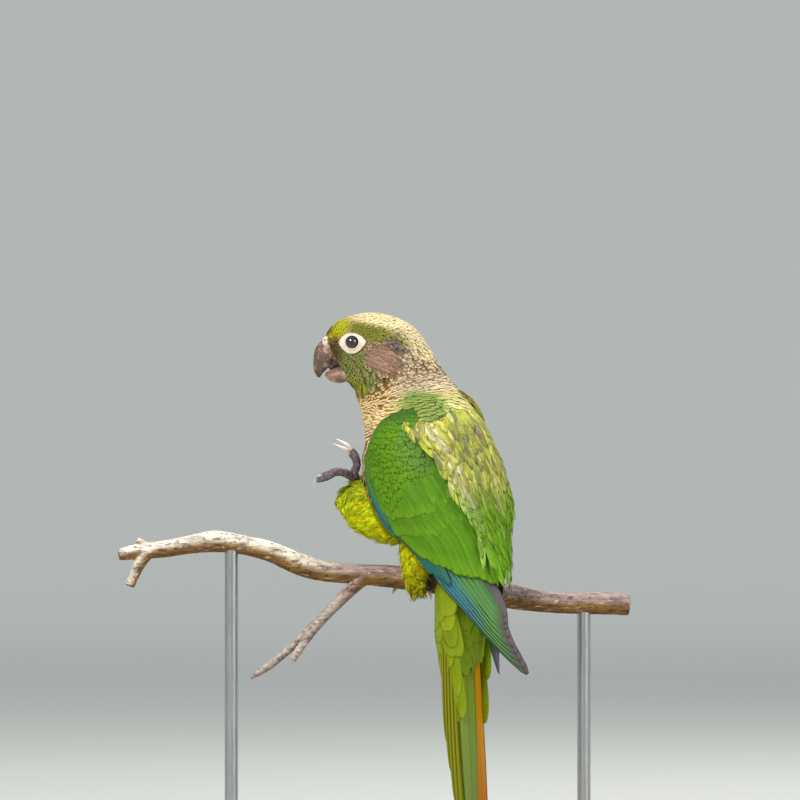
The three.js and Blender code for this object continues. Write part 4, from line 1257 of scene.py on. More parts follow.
def long_feathers(name, sheet, form, roots, tips, width, heights, paint, look, slot, patch,
                  nodes=(), crown=0.5, rise=0.2, tilt=0.0, share=0.0):
    """Long feathers laid from root to tip over a sheet, however the sheet bends between."""
    u, v = np.array(roots)[..., None]
    run_u, run_v = (np.array(tips) - np.array(roots))[..., None]
    t = form.along
    middle_u, middle_v = u + run_u * t, v + run_v * t
    _, across, along, normal = sheet.frame(middle_u, middle_v)
    way = unit(across * run_u[..., None] + along * run_v[..., None])
    step_u, step_v = steps_over(np.cross(way, normal), across, along)
    aside = width[:, None] / 2 * form.side
    on, _, _, up = sheet.frame(middle_u + step_u[..., 0] * aside, middle_v + step_v[..., 0] * aside)
    ridge = np.exp(-(form.across / SHAFT_WIDTH) ** 2) * SHAFT_HEIGHT * (1 - 0.7 * t)
    tall = heights[:, None] + rise * t + crown * form.height + ridge + tilt * aside
    tint = paint(form.across + 0 * middle_u, t + 0 * middle_u, np.arange(len(u))[:, None])
    feather_piece(name, form, on + up * tall[..., None], tint, WING_EDGE, share, patch, look,
                  nodes)


def wing_paints(sign):
    """Colours by place across (s) and along (t) a feather, and by its number (i)."""
    def outer(s, low=-0.1, high=0.25):
        return ease(s * sign, low, high)

    def green(s, t, i):
        base = towards(WING_SHADE, WING_GREEN, 0.5 + 0.5 * outer(s))
        return base * (1 + 0.09 * np.sin(i * 2.4 + 1))[..., None]

    def quill(s, t, i):
        plain = towards(tone(70, 136, 42), tone(72, 116, 62), ease(t, 0.4, 0.75))
        blue = towards(tone(54, 130, 84), tone(22, 98, 150), ease(t, 0.2, 0.36))
        blue = towards(blue, plain, np.maximum(ease(t, 0.62, 0.84), ease(i, 2.4, 5.4)))
        blue = towards(blue, tone(118, 168, 98), 0.4 * outer(s, 0.5, 0.72))
        blue = towards(blue, tone(84, 86, 78), ease(t, 0.88, 0.99))
        blue = towards(blue, tone(24, 48, 40), 0.85 * outer(s, 0.84, 0.95))
        # The inner web's tip is dusky; on the far (right) wing it is painted lighter and bluer, as
        # painted light where that wing lies in shade.
        tip_dusk_and_far_light = tone(96, 84, 88) if sign > 0 else tone(126, 114, 150)
        inner = towards(tone(58, 62, 54), tip_dusk_and_far_light, ease(t, 0.5, 0.85))
        edge = ease(i, 6.4, 7) * outer(-s, 0.4, 0.7) * (1 - ease(t, 0.4, 0.55))
        inner = towards(inner, tone(150, 184, 138), edge)
        return towards(inner, blue, outer(s, -0.12, 0.1))

    def teal(s, t, i):
        base = towards(tone(66, 122, 40), tone(42, 108, 84), outer(s))
        return towards(base, tone(28, 98, 116), 0.5 * ease(t, 0.5, 0.9))

    def tertial(s, t, i):
        base = towards(tone(84, 126, 16), tone(120, 146, 46), ease(np.abs(s), 0.5, 1))
        return towards(base, tone(98, 112, 70), 0.5 * ease(t, 0.7, 1))

    return green, quill, teal, tertial


def wing_feathers(side, sheet):
    sign = 1 if side == "left" else -1
    green, quill, teal, tertial = wing_paints(sign)
    draw = np.random.default_rng(45)

    def tier(name, form, count, u, v, width, heights, paint, look, slot, nodes=(), **more):
        """One tier, from the leading edge inwards: u and v at the roots and at the tips."""
        f = np.linspace(0, 1, count)
        shake = draw.normal(0, 1, (3, count))
        root_u, tip_u = u[0] + u[1] * f, u[2] + u[3] * f
        tip_v = v[1] + v[2] * f ** v[3] + v[4] * np.sin(np.pi * f)
        roots = (root_u, np.full(count, v[0]))
        tips = (tip_u + 0.008 * shake[0], tip_v + 0.05 * shake[1])
        long_feathers(f"wing_{side}_{name}", sheet, form, roots, tips,
                      width * (1 + 0.04 * shake[2]), heights[0] + heights[1] * f, paint, look,
                      slot, wing_patch(side, *roots), nodes, **more)

    lean = -0.05 * sign
    flight = (FLIGHT, "feathers_flight")
    cover = (SMOOTH, "feathers_wing")
    tier("primaries", QUILL_FORM, 9, (0.08, 0.48, 0.44, 0.44), (2.45, 8, -1.55, 1.3, 0), 9,
         (-1.5, 2), quill, *flight, (f"wing_{side}_primaries",), crown=0.3, tilt=lean)
    tier("primary_coverts", QUILL_FORM, 5, (0.07, 0.14, 0.1, 0.2), (2, 4.7, 0.4, 1, 0), 6,
         (-0.3, 0.7), teal, *flight, crown=0.3, tilt=lean)
    tier("secondaries", QUILL_FORM, 11, (0.15, 0.73, 0.19, 0.71), (2.25, 4.15, 1.3, 0.8, 0), 9,
         (0.7, 1.2), green, *cover, (f"wing_{side}_secondaries",), crown=0.2,
         tilt=lean, share=0.3)
    tier("greater_coverts", TIER_FORM, 13, (0.1, 0.81, 0.12, 0.79), (2.1, 3.35, 0, 1, 0.35), 6.6,
         (0.5, 1.1), green, *cover, crown=0.14, rise=0.5, tilt=lean, share=0.3)
    tier("median_coverts", TIER_FORM, 16, (0.09, 0.84, 0.1, 0.83), (1.9, 2.9, 0, 1, 0.2), 5.2,
         (0.7, 1.0), green, *cover, crown=0.12, rise=0.45, tilt=lean, share=0.3)
    tier("tertials", QUILL_FORM, 3, (0.62, 0.12, 0.68, 0.14), (2, 4.6, 0, 1, 0), 8.4,
         (1.2, 0.3), tertial, *cover, crown=0.25, share=0.3)
    tier("edge", TIER_FORM, 5, (0.05, 0.03, 0.03, 0.05), (0.7, 3.4, -0.25, 1, 0), 4.6,
         (0.2, 0.9), teal, *flight, crown=0.3, rise=0.1)


# The cape: mantle and shoulder feathers between the folded wings

CAPE_EDGE = [(0, 0.74), (1, 0.8), (2, 0.92), (5, 0.96)]
BACKWARD = np.array([math.cos(math.radians(BODY_TURN)), -math.sin(math.radians(BODY_TURN)), 0])


def cape_point(u, v):
    """The back between the wings' inner edges and over them."""
    edge = np.interp(v, *zip(*CAPE_EDGE))
    lift = (1.6 + 2 * ease(v, 0.4, 1.8))[..., None]
    sides = []
    for sheet in WINGS.values():
        at, _, _, normal = sheet.frame(edge, v)
        sides.append(at + normal * lift)
    middle = (sides[0] + sides[1]) / 2
    heights = np.array([r[3] for r in FLESH[:12]])
    spine = flesh_at(np.interp(middle[..., 2], heights, np.arange(12.0)), np.pi, 0)
    bulge = dot(spine - middle, BACKWARD) + 0.5
    bulge = (bulge + 2.5 + np.sqrt((bulge - 2.5) ** 2 + 4)) / 2
    crest = middle + bulge * BACKWARD
    u = u[..., None]
    return (1 - u) * (1 - 2 * u) * sides[0] + 4 * u * (1 - u) * crest + u * (2 * u - 1) * sides[1]


CAPE = Sheet(cape_point, -1)
CAPE_TONES = [(240, 226, 178), (208, 202, 116), (184, 190, 58), (118, 150, 34), (104, 130, 80),
              (120, 102, 98)]
SCAPULAR_ROW = 26


def cape_lot(u, v, draw):
    """Streaks of cream, yellow-green and green, greener towards the lower back."""
    count = len(u)
    border = ease(np.abs(2 * u - 1), 0.45, 0.9)
    low = ease(v, 1.5, 3.1)
    weights = np.stack([(0.1 + 0.1 * border) * (1 - 0.85 * low), 0.38 - 0.3 * low, 0.32 + 0 * u,
                        0.06 + 0.5 * low, 0.03 + 0.1 * border, 0.02 + 0.06 * border])
    share = np.cumsum(weights / weights.sum(0), axis=0)
    streak = noise_at(np.stack([u * 32, v * 3.2, 0 * u], -1), 0.55, 7) * 1.7 + 0.5
    choice = (share < streak + draw.normal(0, 0.16, count)).sum(0)
    tint = np.array([tone(*c) for c in CAPE_TONES])[np.minimum(choice, 5)]
    tint = towards(tint, towards(tone(180, 184, 66), tone(106, 164, 14), low), 0.15 + 0.7 * low)
    rim = towards(tint, tone(232, 224, 150), 0.35 - 0.3 * low)
    return dict(u=u, v=v, tint=vary(draw, tint, 0.12, 0.03), rim=vary(draw, rim, 0.08), share=0.5,
                patch=np.stack([0.2 + 0.3 * u, 0.5 + 0.09 * v], -1))


def cape_coat():
    """The mantle's rows, the down on them, and long scapulars down both sides."""
    draw = np.random.default_rng(51)
    gap = lambda v: 2.1 + 0.4 * v
    u, v = rows_on(CAPE, 0.25, 4.7, gap, seed=52, jitter=0.3)
    count = len(u)
    space = gap(v)
    lot = cape_lot(u, v, draw)
    outward_turn = 14 * ease(np.abs(2 * u - 1), 0.6, 1) * np.sign(0.5 - u)
    end = ease(v, 3.3, 4.6)
    lot.update(length=space * draw.uniform(3.8, 5.4, count) * (1 - 0.12 * end),
               width=space * draw.uniform(0.7, 1.1, count),
               swirl=draw.normal(0, 9, count) + outward_turn, root=-0.3,
               tip=0.35 + draw.uniform(-0.1, 0.3, count), crown=0.12, sweep=0.9)
    grow("coat_cape", CAPE, BODY_FORM, lot, SOFT, "feathers_body")
    loose = picked(lot, draw.uniform(0, 1, count) < 0.75 - 0.6 * end)
    some = len(loose["u"])
    pale = 0.3 * (1 - ease(loose["v"], 1.9, 3.2))
    loose["tint"] = vary(draw, towards(loose["tint"], tone(214, 208, 152), pale))
    loose = changed(loose, 1.15, higher=0.5 + 1.4 * (draw.uniform(0, 1, some) < 0.07),
                    u=loose["u"] + draw.uniform(-0.02, 0.02, some))
    grow("coat_cape_down", CAPE, HAIR_FORM, loose, DOWNY, "feathers_body")
    count = 4 * SCAPULAR_ROW
    v = np.tile(np.linspace(0.9, 3.5, SCAPULAR_ROW), 4) + draw.uniform(-0.08, 0.08, count)
    u = np.repeat([0.01, 0.07, 0.93, 0.99], SCAPULAR_ROW) + draw.uniform(-0.03, 0.03, count)
    lot = cape_lot(u, v, draw)
    lot["tint"] = 0.8 * lot["tint"]
    lot.update(length=draw.uniform(7, 12, count), width=draw.uniform(2.2, 3.4, count),
               swirl=draw.normal(0, 8, count) + np.where(u < 0.5, 12, -12), root=-0.4,
               tip=0.4 + draw.uniform(0, 0.5, count), crown=0.15, sweep=0.8)
    grow("coat_scapulars", CAPE, LANCE_SMALL, lot, SOFT, "feathers_body")


# Tail

TAIL_SHARES = [1, 0.96, 0.87, 0.77, 0.66, 0.56]


def tail_feathers():
    """Six pairs of feathers, the middle pair on top of the others."""
    ranks = np.repeat(np.arange(len(TAIL_SHARES))[::-1], 2)
    signs = np.tile([1, -1], len(TAIL_SHARES))
    inner = ranks == 0
    length = TAIL_LENGTH * np.array(TAIL_SHARES)[ranks]
    root = np.where(inner, 3, 4.4 + 0.35 * ranks)
    spread = np.sin(np.radians(0.7 + np.where(signs > 0, 0.98, 0.75) * ranks))
    starts = (signs * root, np.full(len(ranks), -6.0))
    ends = (signs * (root + length * spread), length)
    lifts = np.where(inner, 0.5 + 0.4 * signs, 0.3 - 0.85 * ranks)

    def paint(s, t, i):
        outer = -s * signs[:, None]
        olive = towards(tone(120, 140, 26), tone(112, 132, 54), ease(t, 0.3, 0.7))
        warm = towards(tone(150, 108, 14), tone(150, 74, 20), ease(t, 0.45, 0.95))
        middle = towards(olive, tone(116, 66, 24), 0.75 * ease(t, 0.78, 1))
        edge = ease(outer, 0.5, 0.7) * (1 - ease(outer, 0.93, 1))
        side = towards(warm, tone(150, 158, 26), edge)
        side = np.where(signs[:, None, None] > 0, towards(side, tone(124, 138, 18), 0.8), side)
        far = towards(tone(190, 130, 6), tone(184, 96, 14), ease(t, 0.5, 0.95))
        far = towards(far, tone(150, 156, 34), ease(outer, 0.62, 0.8))
        middle = np.where(signs[:, None, None] < 0, far, middle)
        both = np.where(inner[:, None, None], middle, side)
        # Painted shadow: a dark line along the inner edge of the middle pair, where one feather lies
        # over the other.
        dark = ease(-outer, 0.86, 0.97) * inner[:, None]
        return towards(both, tone(58, 44, 22), 0.8 * dark)

    patch = np.stack([0.86 + 0.008 * starts[0], np.full(len(ranks), 0.9)], -1)
    long_feathers("tail_feathers", TAIL, TAIL_FORM, starts, ends, np.where(inner, 12, 9.2), lifts,
                  paint, FLIGHT, "feathers_tail", patch, ("tail",), crown=0.35, rise=0)


def tail_bulge(stations, widths, depths, toward):
    """Half a tube on the tail's root: under it towards the front (1) or over it (-1)."""
    def point(u, v):
        a = np.pi * (u - 0.5)
        wide = np.interp(v, stations, widths)
        deep = np.interp(v, stations, depths)
        c, s = math.cos(math.radians(TAIL_TILT)), math.sin(math.radians(TAIL_TILT))
        return place(TAIL_ROOT[0] - v * s + toward * deep * np.cos(a), wide * np.sin(a),
                     TAIL_ROOT[1] - v * c)
    return Sheet(point, -toward)


UNDER_TAIL = tail_bulge([-14, 0, 20, 34, 52, 74], [11, 13, 13, 11, 9.5, 8],
                        [8, 14, 15.5, 14.5, 11.5, 3], 1)
OVER_TAIL = tail_bulge([-14, 0, 20, 40], [9, 12.5, 12, 9], [3, 5, 4.5, 2], -1)


def tail_coverts():
    """Rows of rounded green feathers under the tail's root and over it."""
    for name, sheet, stop, seed, node, shift, warm in (
            ("tail_coverts_below", UNDER_TAIL, 39, 61, "tail_coverts_under", 0.7, 1),
            ("tail_coverts_top", OVER_TAIL, 11, 63, "tail_coverts_upper", 0.85, 0)):
        inset = 0 if warm else 0.1
        draw = np.random.default_rng(seed)
        u, v = rows_on(sheet, -13, stop, lambda v: 5, 1 - 2 * inset, inset, seed, 0.3)
        count = len(u)
        tint = tone(118, 138, 8) if warm else tone(110, 136, 12)
        tint = vary(draw, np.tile(tint, (count, 1)), 0.06, 0.04)
        rim = towards(tint, tone(168, 174, 40), 0.35)
        lot = dict(u=u, v=v, tint=tint, rim=rim, share=0.5,
                   patch=np.stack([shift + 0.12 * u, 0.94 + 0.0006 * v], -1),
                   length=draw.uniform(22, 30, count), width=8, swirl=draw.normal(0, 4, count),
                   root=-0.5, tip=draw.uniform(0, 0.12, count), crown=0.08)
        grow(name, sheet, TIER_FORM, lot, SMOOTH, "feathers_body", (node,))


# Head pieces

UPPER_BILL = [(39.5, 253, 33, 246.5, 4.2), (42.2, 250.8, 35, 244.2, 4.9),
              (44.3, 248.2, 36.4, 242.4, 4.9), (45.3, 244.6, 37.6, 240.4, 4.4),
              (45.5, 240.8, 39.2, 238.8, 3.5), (45.1, 237.4, 41.2, 236.8, 2.2),
              (43.8, 234.9, 42.6, 234.7, 0.7)]
LOWER_BILL = [(30, 240.5, 29, 233.5, 4.6), (34, 240, 33, 232.2, 4.5),
              (36.8, 238.8, 36.6, 232.6, 3.9), (38.8, 237.6, 39.2, 234, 2.9),
              (39.9, 237.2, 40.4, 235.6, 1.6)]
TONGUE = [(-32, 6, 240.6, 1.4), (-34, 6, 240.2, 1.8), (-35.9, 6, 239.2, 1.5)]
MOUTH = [(-27, 6, 243.2, 3.6), (-31, 6, 243, 3.6), (-34, 6, 242.6, 3), (-35.6, 6, 242, 1.6)]
NOSTRIL = (-37.2, 4.5, 251.4, 0.75)
CERE = (-36.4, 2.5, 250.8)
CERE_SIZE = (2.2, 2.4, 2.6)


def bill(name, rows, node, ridge, tints):
    """Half a bill through rows of front, back and half width, with a keel and loose flakes."""
    steps, sides = 56, 48
    v = np.linspace(0, len(rows) - 1, steps + 1)[:, None]
    a = np.linspace(0, 2 * np.pi, sides, endpoint=False)[None, :]
    v, a = np.broadcast_arrays(v, a)
    r = through(rows, v)
    fs, fz, bs, bz, wide = [r[..., k] for k in range(5)]
    keel = 1 + ridge * np.exp(-(np.minimum(a, 2 * np.pi - a) / 0.22) ** 2)
    growth = 1 + 0.006 * np.sin(v * 15 + 0.6 * np.cos(3 * a))
    c = np.cos(a) * keel * growth
    s = np.sin(a) * wide * (1 - 0.16 * np.cos(a)) * growth
    rings = place((fs + bs + c * (fs - bs)) / 2, s, (fz + bz + c * (fz - bz)) / 2, 0)
    mesh = tube_mesh(name, rings)
    along = along_tube(steps, sides)
    tint = towards(tone(*tints[0]), tone(*tints[1]), ease(along, 0.15, 0.6))
    tint = towards(tint, tone(*tints[2]), ease(along, 0.7, 1))
    turn = np.concatenate([np.tile(a[0], steps + 1), [0, 0]])
    flaked = noise_at(points_of(mesh), 1.3, 17)
    edge = ease(np.abs(np.where(turn > np.pi, turn - 2 * np.pi, turn)), 1.7, 2.6)
    tint = towards(tint, tone(232, 206, 176), edge * ease(flaked, -0.1, 0.4) * 0.85)
    base = 1 - ease(along, 0.06, 0.26)
    tint = towards(tint, tone(216, 174, 126), base * ease(flaked, -0.15, 0.3) * 0.8)
    colour_layer(mesh, "Tint", tint)
    piece_of(name, mesh, HORN, (node,))


def tongue():
    for name, rings, tint, nodes in (
            ("tongue_soft", limb_rings(TONGUE, 14, 20), (70, 52, 56), ("tongue",)),
            ("mouth_lining", limb_rings(MOUTH, 20, 24), (62, 36, 36), ())):
        mesh = tube_mesh(name, rings)
        colour_layer(mesh, "Tint", tone(*tint))
        piece_of(name, mesh, HORN, nodes)


def eye(name, side):
    """An eyeball with its clear front raised a little, looking out from the side of the head."""
    skin = head_side(*EYE_AT, side)
    centre = Vector((EYE_AT[0], skin + side * (EYE_RADIUS - EYE_PROUD), EYE_AT[1])) * MM
    ball = primitive(name, bpy.ops.mesh.primitive_uv_sphere_add, segments=48, ring_count=32,
                     radius=EYE_RADIUS * MM, location=centre, rotation=(math.pi / 2 * side, 0, 0))
    mesh = ball.data
    out = Vector((0, -side, 0))
    tint = np.ones((len(mesh.vertices), 3))
    for index, vertex in enumerate(mesh.vertices):
        ahead = ((vertex.co - centre) / (EYE_RADIUS * MM)).dot(out)
        if ahead > 0:
            reach = math.sqrt(max(1 - ahead * ahead, 0))
            tint[index] = reach / 0.7
            vertex.co += out * (0.07 * float(1 - ease(reach, 0.0, 0.62))) * EYE_RADIUS * MM
    colour_layer(mesh, "Tint", tint)
    mesh.shade_smooth()
    dress(ball, EYE, (name.replace("eyeball", "eye"),))


def eye_ring(name, side):
    """The bare ring with its lids, wrinkled round the eye."""
    around = 120
    degrees = np.linspace(0, 360, around, endpoint=False)
    profile = [(1.0, -0.5), (1.0, 0.0), (0.93, 0.28), (0.8, 0.36), (0.66, 0.42), (0.5, 0.5),
               (0.36, 0.62), (0.22, 0.84), (0.12, 1.0), (0.04, 1.02), (0.0, 0.86), (0.0, -0.6)]
    rings = np.zeros((len(profile), around, 3))
    for k, angle in enumerate(degrees):
        c, s = math.cos(math.radians(angle)), math.sin(math.radians(angle))
        full = float(ring_reach(angle))
        for m, (share, height) in enumerate(profile):
            reach = EYE_OPENING + (full - EYE_OPENING) * share
            fold = 0.07 * math.sin(share * 26 + 0.4 * math.sin(5 * math.radians(angle)))
            bead = 0.05 * math.sin(angle * 0.7) if share < 0.25 else 0.0
            x, z = EYE_AT[0] + reach * c, EYE_AT[1] + reach * s
            tall = height + (fold if 0.05 < share < 0.98 else 0) + bead
            rings[m, k] = (x, head_side(x, z, side) - side * tall, z)
    points = rings.reshape(-1, 3)
    quads = grid_faces(len(profile) + 1, around, closed=True) % len(points)
    made = linked(name, mesh_of(name, points, quads))
    dress(made, BARE)
    alone(made)
    bpy.ops.object.mode_set(mode="EDIT")
    bpy.ops.mesh.select_all(action="SELECT")
    bpy.ops.mesh.normals_make_consistent(inside=False)
    bpy.ops.object.mode_set(mode="OBJECT")


def cere(name, side):
    """The swollen bare skin over the bill, with a nostril sunk into it."""
    centre = Vector((CERE[0], PIVOT[1] - side * CERE[1], CERE[2])) * MM
    mound = primitive(name, bpy.ops.mesh.primitive_uv_sphere_add, segments=56, ring_count=40,
                      radius=MM, location=centre, rotation=(math.pi / 2, 0, 0))
    hole = Vector((NOSTRIL[0], PIVOT[1] - side * NOSTRIL[1], NOSTRIL[2])) * MM
    for vertex in mound.data.vertices:
        offset = vertex.co - centre
        vertex.co = centre + Vector([a * b for a, b in zip(offset, CERE_SIZE)])
        away = math.hypot(vertex.co.x - hole.x, vertex.co.z - hole.z) / (NOSTRIL[3] * MM)
        if (vertex.co.y - centre.y) * side < 0:
            pit = float(1 - ease(away, 0.55, 1.05)) * 1.2
            lip = 0.16 * math.exp(-((away - 1.35) / 0.35) ** 2)
            vertex.co.y += side * (pit - lip) * MM
    mound.data.shade_smooth()
    dress(mound, BARE)
    places = []
    for z, x in reversed(BILL_LINE[1:-1]):
        places.append((x - 0.5, head_side(x, z, side) - 0.1 * side, z, 0.75))
    rim = limb_rings(places, 40, 20, lambda u, v: 1 + 0.18 * np.sin(v * 11 + 4 * u))
    piece_of(f"{name}_rim", tube_mesh(f"{name}_rim", rim), BARE)


# Branch and feet: places of x, y, z and radius along each limb

BRANCH = [(-130, -9.5, 155.2, 2.6), (-121, -8.2, 156.6, 3.6), (-110, -7.0, 157.6, 3.9),
          (-98, -5.8, 159.6, 4.2), (-87, -4.7, 161, 4.9), (-76, -3.6, 159.8, 4.4),
          (-62, -2.2, 156.4, 4.7), (-49, -0.9, 150.8, 5), (-38, 0.2, 147.6, 4.7),
          (-22, 1.8, 146.2, 4.6), (-6, 3.4, 145, 5.3), (12, 5.2, 142.6, 5.5), (30, 7.0, 139.4, 5.5),
          (48, 8.8, 135.8, 5.6), (66, 10.6, 133.2, 4.8), (86, 12.6, 133, 5.2), (100, 14.0, 132, 4.7)]
STUB = [(-117, -9, 157, 3.4), (-121.5, -9.6, 149, 2.6), (-125, -10.4, 141, 2.3)]
KNOT = [(-117, -8, 158, 2.6), (-122, -8.6, 161.5, 1.9)]
TWIG = [(-19, 1, 146, 4.2), (-25, 0.2, 140, 3.1), (-36, -1.4, 129, 2.6), (-45, -2.6, 118, 2.1),
        (-52, -3.4, 107.5, 1.7)]
TWIG_LONG = [(-35, -0.6, 131, 1.9), (-44, 1, 121.5, 2), (-55, 2.4, 111, 1.9),
             (-64, 3.4, 104, 1.9), (-71, 4, 99.4, 1)]


def branch_at(x):
    stations = [b[0] for b in BRANCH]
    return np.array([np.interp(x, stations, [b[k] for b in BRANCH]) for k in range(4)])


FOOT_X = 3.3
TOE_RADIUS = 1.75
TOUCH_GAP = 0.3


def grip_toe(start, spread, reach, behind):
    places = []
    for i in range(8):
        f = i / 7
        x, y, z, r = branch_at(start + spread * f)
        toe = TOE_RADIUS * (1 - 0.28 * f) * (1 if i % 2 else 0.93)
        out = r + TOUCH_GAP + 0.15 + toe
        a = math.radians(reach * (0.04 + 0.96 * f))
        side = -1 if behind else 1
        places.append((x, y + side * out * math.sin(a), z + out * math.cos(a), toe))
    return places


GRIP_TOES = [grip_toe(FOOT_X - 1, -7.5, 128, False), grip_toe(FOOT_X + 1.4, -1.5, 118, False),
             grip_toe(FOOT_X + 1, 5, 124, True), grip_toe(FOOT_X - 1.4, -2, 108, True)]
RAISED_PALM = (-24.6, 8.2, 190.4)
RAISED_TOES = [
    [(-25.4, 6.4, 190.2, 2), (-28.6, 2.6, 191.8, 1.9), (-32.6, 1, 192, 1.75),
     (-36.8, 1.6, 189.8, 1.6), (-40.6, 4.4, 188.6, 1.35)],
    [(-25.4, 9.8, 190.4, 2), (-28.2, 13.6, 191.8, 1.85), (-32, 15.2, 192.4, 1.7),
     (-36, 14.2, 191.4, 1.5), (-39.2, 11.4, 190.2, 1.3)],
    [(-24.6, 6.6, 191.4, 2), (-23, 4.8, 195.4, 1.8), (-23.6, 4.4, 199.2, 1.6),
     (-25.4, 4.8, 202.2, 1.35)],
    [(-24.6, 10, 191.4, 1.9), (-23.2, 12, 194.8, 1.7), (-24, 12.8, 198, 1.5),
     (-26, 12.6, 200.4, 1.25)],
]
PERCH_AT = branch_at(FOOT_X)
GRIP_PALM = (FOOT_X, PERCH_AT[1], PERCH_AT[2] + PERCH_AT[3] + 2.4)
LEFT_SHANK = [(FOOT_X + 0.2, PERCH_AT[1] - 0.2, PERCH_AT[2] + PERCH_AT[3] + 3.2, 1.8),
              (4.2, 1.8, 157, 1.7), (5.4, 0.8, 163, 2)]
RIGHT_SHANK = [(-23.4, 8.6, 188.4, 1.8), (-19.6, 10.2, 184.4, 1.7), (-15.5, 11.6, 180, 2)]
FOOT_GRAIN = 0.24
CLAW_ROOT = 1.2


def scutes(count):
    """Ringed plates along a toe, with a joint's swelling at each bone's end."""
    def swell(u, v):
        plates = 0.05 * np.abs(np.sin(np.pi * v * count))
        joint = 0.09 * np.cos(2 * np.pi * v) ** 4
        return 0.93 + plates + joint
    return swell


def foot(name, toes, palm, size, node):
    """Toes blended with the palm that they grow from."""
    parts = []
    for index, toe in enumerate(toes):
        plates = scutes(1.6 if len(toe) > 6 else 3.2)
        part = f"{name}_{index}"
        parts.append(linked(part, tube_mesh(part, limb_rings(toe, 48, 20, plates))))
    pad = primitive(name, bpy.ops.mesh.primitive_uv_sphere_add, segments=32, ring_count=20,
                    radius=MM)
    pad.scale = size
    pad.location = Vector(palm) * MM
    settle(pad)
    fused([pad, *parts], FOOT_GRAIN, 0.4, 3)
    foot_tint(pad.data)
    dress(pad, FOOT, (node,))


def foot_tint(mesh):
    at = points_of(mesh)
    warm = ease(np.sin(at[:, 0] * 0.9 + at[:, 2] * 0.7), 0.1, 0.9)
    colour_layer(mesh, "Tint", towards(tone(96, 78, 92), tone(120, 88, 74), 0.5 * warm))


def shank(name, places, node):
    plates = limb_rings(places, 60, 24, lambda u, v: 1 + 0.04 * np.abs(np.sin(np.pi * v * 7)))
    mesh = tube_mesh(name, plates)
    foot_tint(mesh)
    piece_of(name, mesh, FOOT, (node,))


def claw(name, toe, length, hook, node):
    """A curved claw, whose root is sunk into the end of its toe."""
    a, b = np.array(toe[-2]), np.array(toe[-1])
    way = unit(b[:3] - a[:3])
    start = b[:3] + way * (TOUCH_GAP - CLAW_ROOT)
    full = length + CLAW_ROOT
    f = np.linspace(0, 1, 13)
    shift = CLAW_ROOT / full
    g = np.clip((f - shift) / (1 - shift), 0, 1)
    middle = start + way * full * f[:, None] + np.array(hook) * length * (g ** 2)[:, None]
    radii = b[3] * 0.95 * (1 - 0.94 * f ** 1.7)
    places = [(*p, r) for p, r in zip(middle, radii)]
    mesh = tube_mesh(name, limb_rings(places, 26, 16))
    pale = ease(along_tube(26, 16), 0.3, 0.8)
    colour_layer(mesh, "Tint", towards(tone(196, 182, 166), tone(240, 232, 218), pale))
    piece_of(name, mesh, CLAW, (node,))


# The branch's wood

BRANCH_GRAIN = 0.42
TWIG_GRAIN = 0.3


def branch_piece(name, limbs, node, voxel):
    """Limbs blended into one rough length of wood."""
    parts = []
    for index, (places, steps) in enumerate(limbs):
        part = f"{name}_{index}" if index else name
        parts.append(linked(part, tube_mesh(f"{name}_{index}", limb_rings(places, steps, 32))))
    wood = fused(parts, voxel, 0.5, 4)
    mesh = wood.data
    at = points_of(mesh)
    out = np.zeros(at.size)
    mesh.vertex_normals.foreach_get("vector", out)
    out = out.reshape(-1, 3)
    long_way = at * np.array([0.35, 1, 1])
    rough = noise_at(long_way, 0.9, 3) * 0.34 + noise_at(long_way, 2.6, 4) * 0.16
    at = at + out * (rough - 0.1)[:, None]
    mesh.vertices.foreach_set("co", (at * MM).astype(np.float32).ravel())
    mesh.update()
    # Painted light and shade: the bark is paler where it faces up and browner where it faces down.
    upper = towards(tone(246, 236, 216), tone(172, 148, 142), ease(at[:, 0], -60, -18))
    tint = towards(tone(142, 104, 54), upper, ease(out[:, 2], -0.35, 0.45))
    hanging = (1 - ease(at[:, 2], 128, 143)) * ease(-at[:, 0], 4, 22)
    tint = towards(tint, tone(178, 164, 158), 0.8 * hanging)
    worn = ease(noise_at(at, 0.22, 9), 0.2, 0.9)
    tint = towards(tint, tone(132, 104, 92), 0.5 * worn)
    colour_layer(mesh, "Tint", tint)
    dress(wood, BARK, (node,))


# Stand

BASE_SIZE = (200, 104, 12)
BASE_CORNER = 22
BASE_EDGE = 2.2
ROD_RADIUS = 3
ROD_SPREAD = 79.4
COLLAR_RADIUS = 7
COLLAR_HEIGHT = 4
COLLAR_EDGE = 0.9
SHARP_ANGLE = math.radians(40)


def rounded(made, test, offset, segments):
    """Bevels the edges whose two ends pass a test."""
    alone(made)
    bpy.ops.object.mode_set(mode="EDIT")
    bpy.ops.mesh.select_all(action="DESELECT")
    bpy.ops.mesh.select_mode(type="EDGE")
    bpy.ops.object.mode_set(mode="OBJECT")
    points = made.data.vertices
    for edge in made.data.edges:
        edge.select = test(*[points[k].co / MM for k in edge.vertices])
    bpy.ops.object.mode_set(mode="EDIT")
    bpy.ops.mesh.bevel(offset=offset * MM, segments=segments)
    bpy.ops.object.mode_set(mode="OBJECT")


def stand_base():
    length, depth, thick = [s * MM for s in BASE_SIZE]
    base = primitive("stand_base_wood", bpy.ops.mesh.primitive_cube_add, size=1,
                     location=(0, 0, thick / 2), scale=(length, depth, thick))
    rounded(base, lambda a, b: abs(a.z - b.z) > 1, BASE_CORNER, 14)
    rounded(base, lambda a, b: min(a.z, b.z) > BASE_SIZE[2] - 0.1, BASE_EDGE, 4)
    bpy.ops.object.shade_smooth_by_angle(angle=SHARP_ANGLE)
    dress(base, WOOD, ("stand_base",))


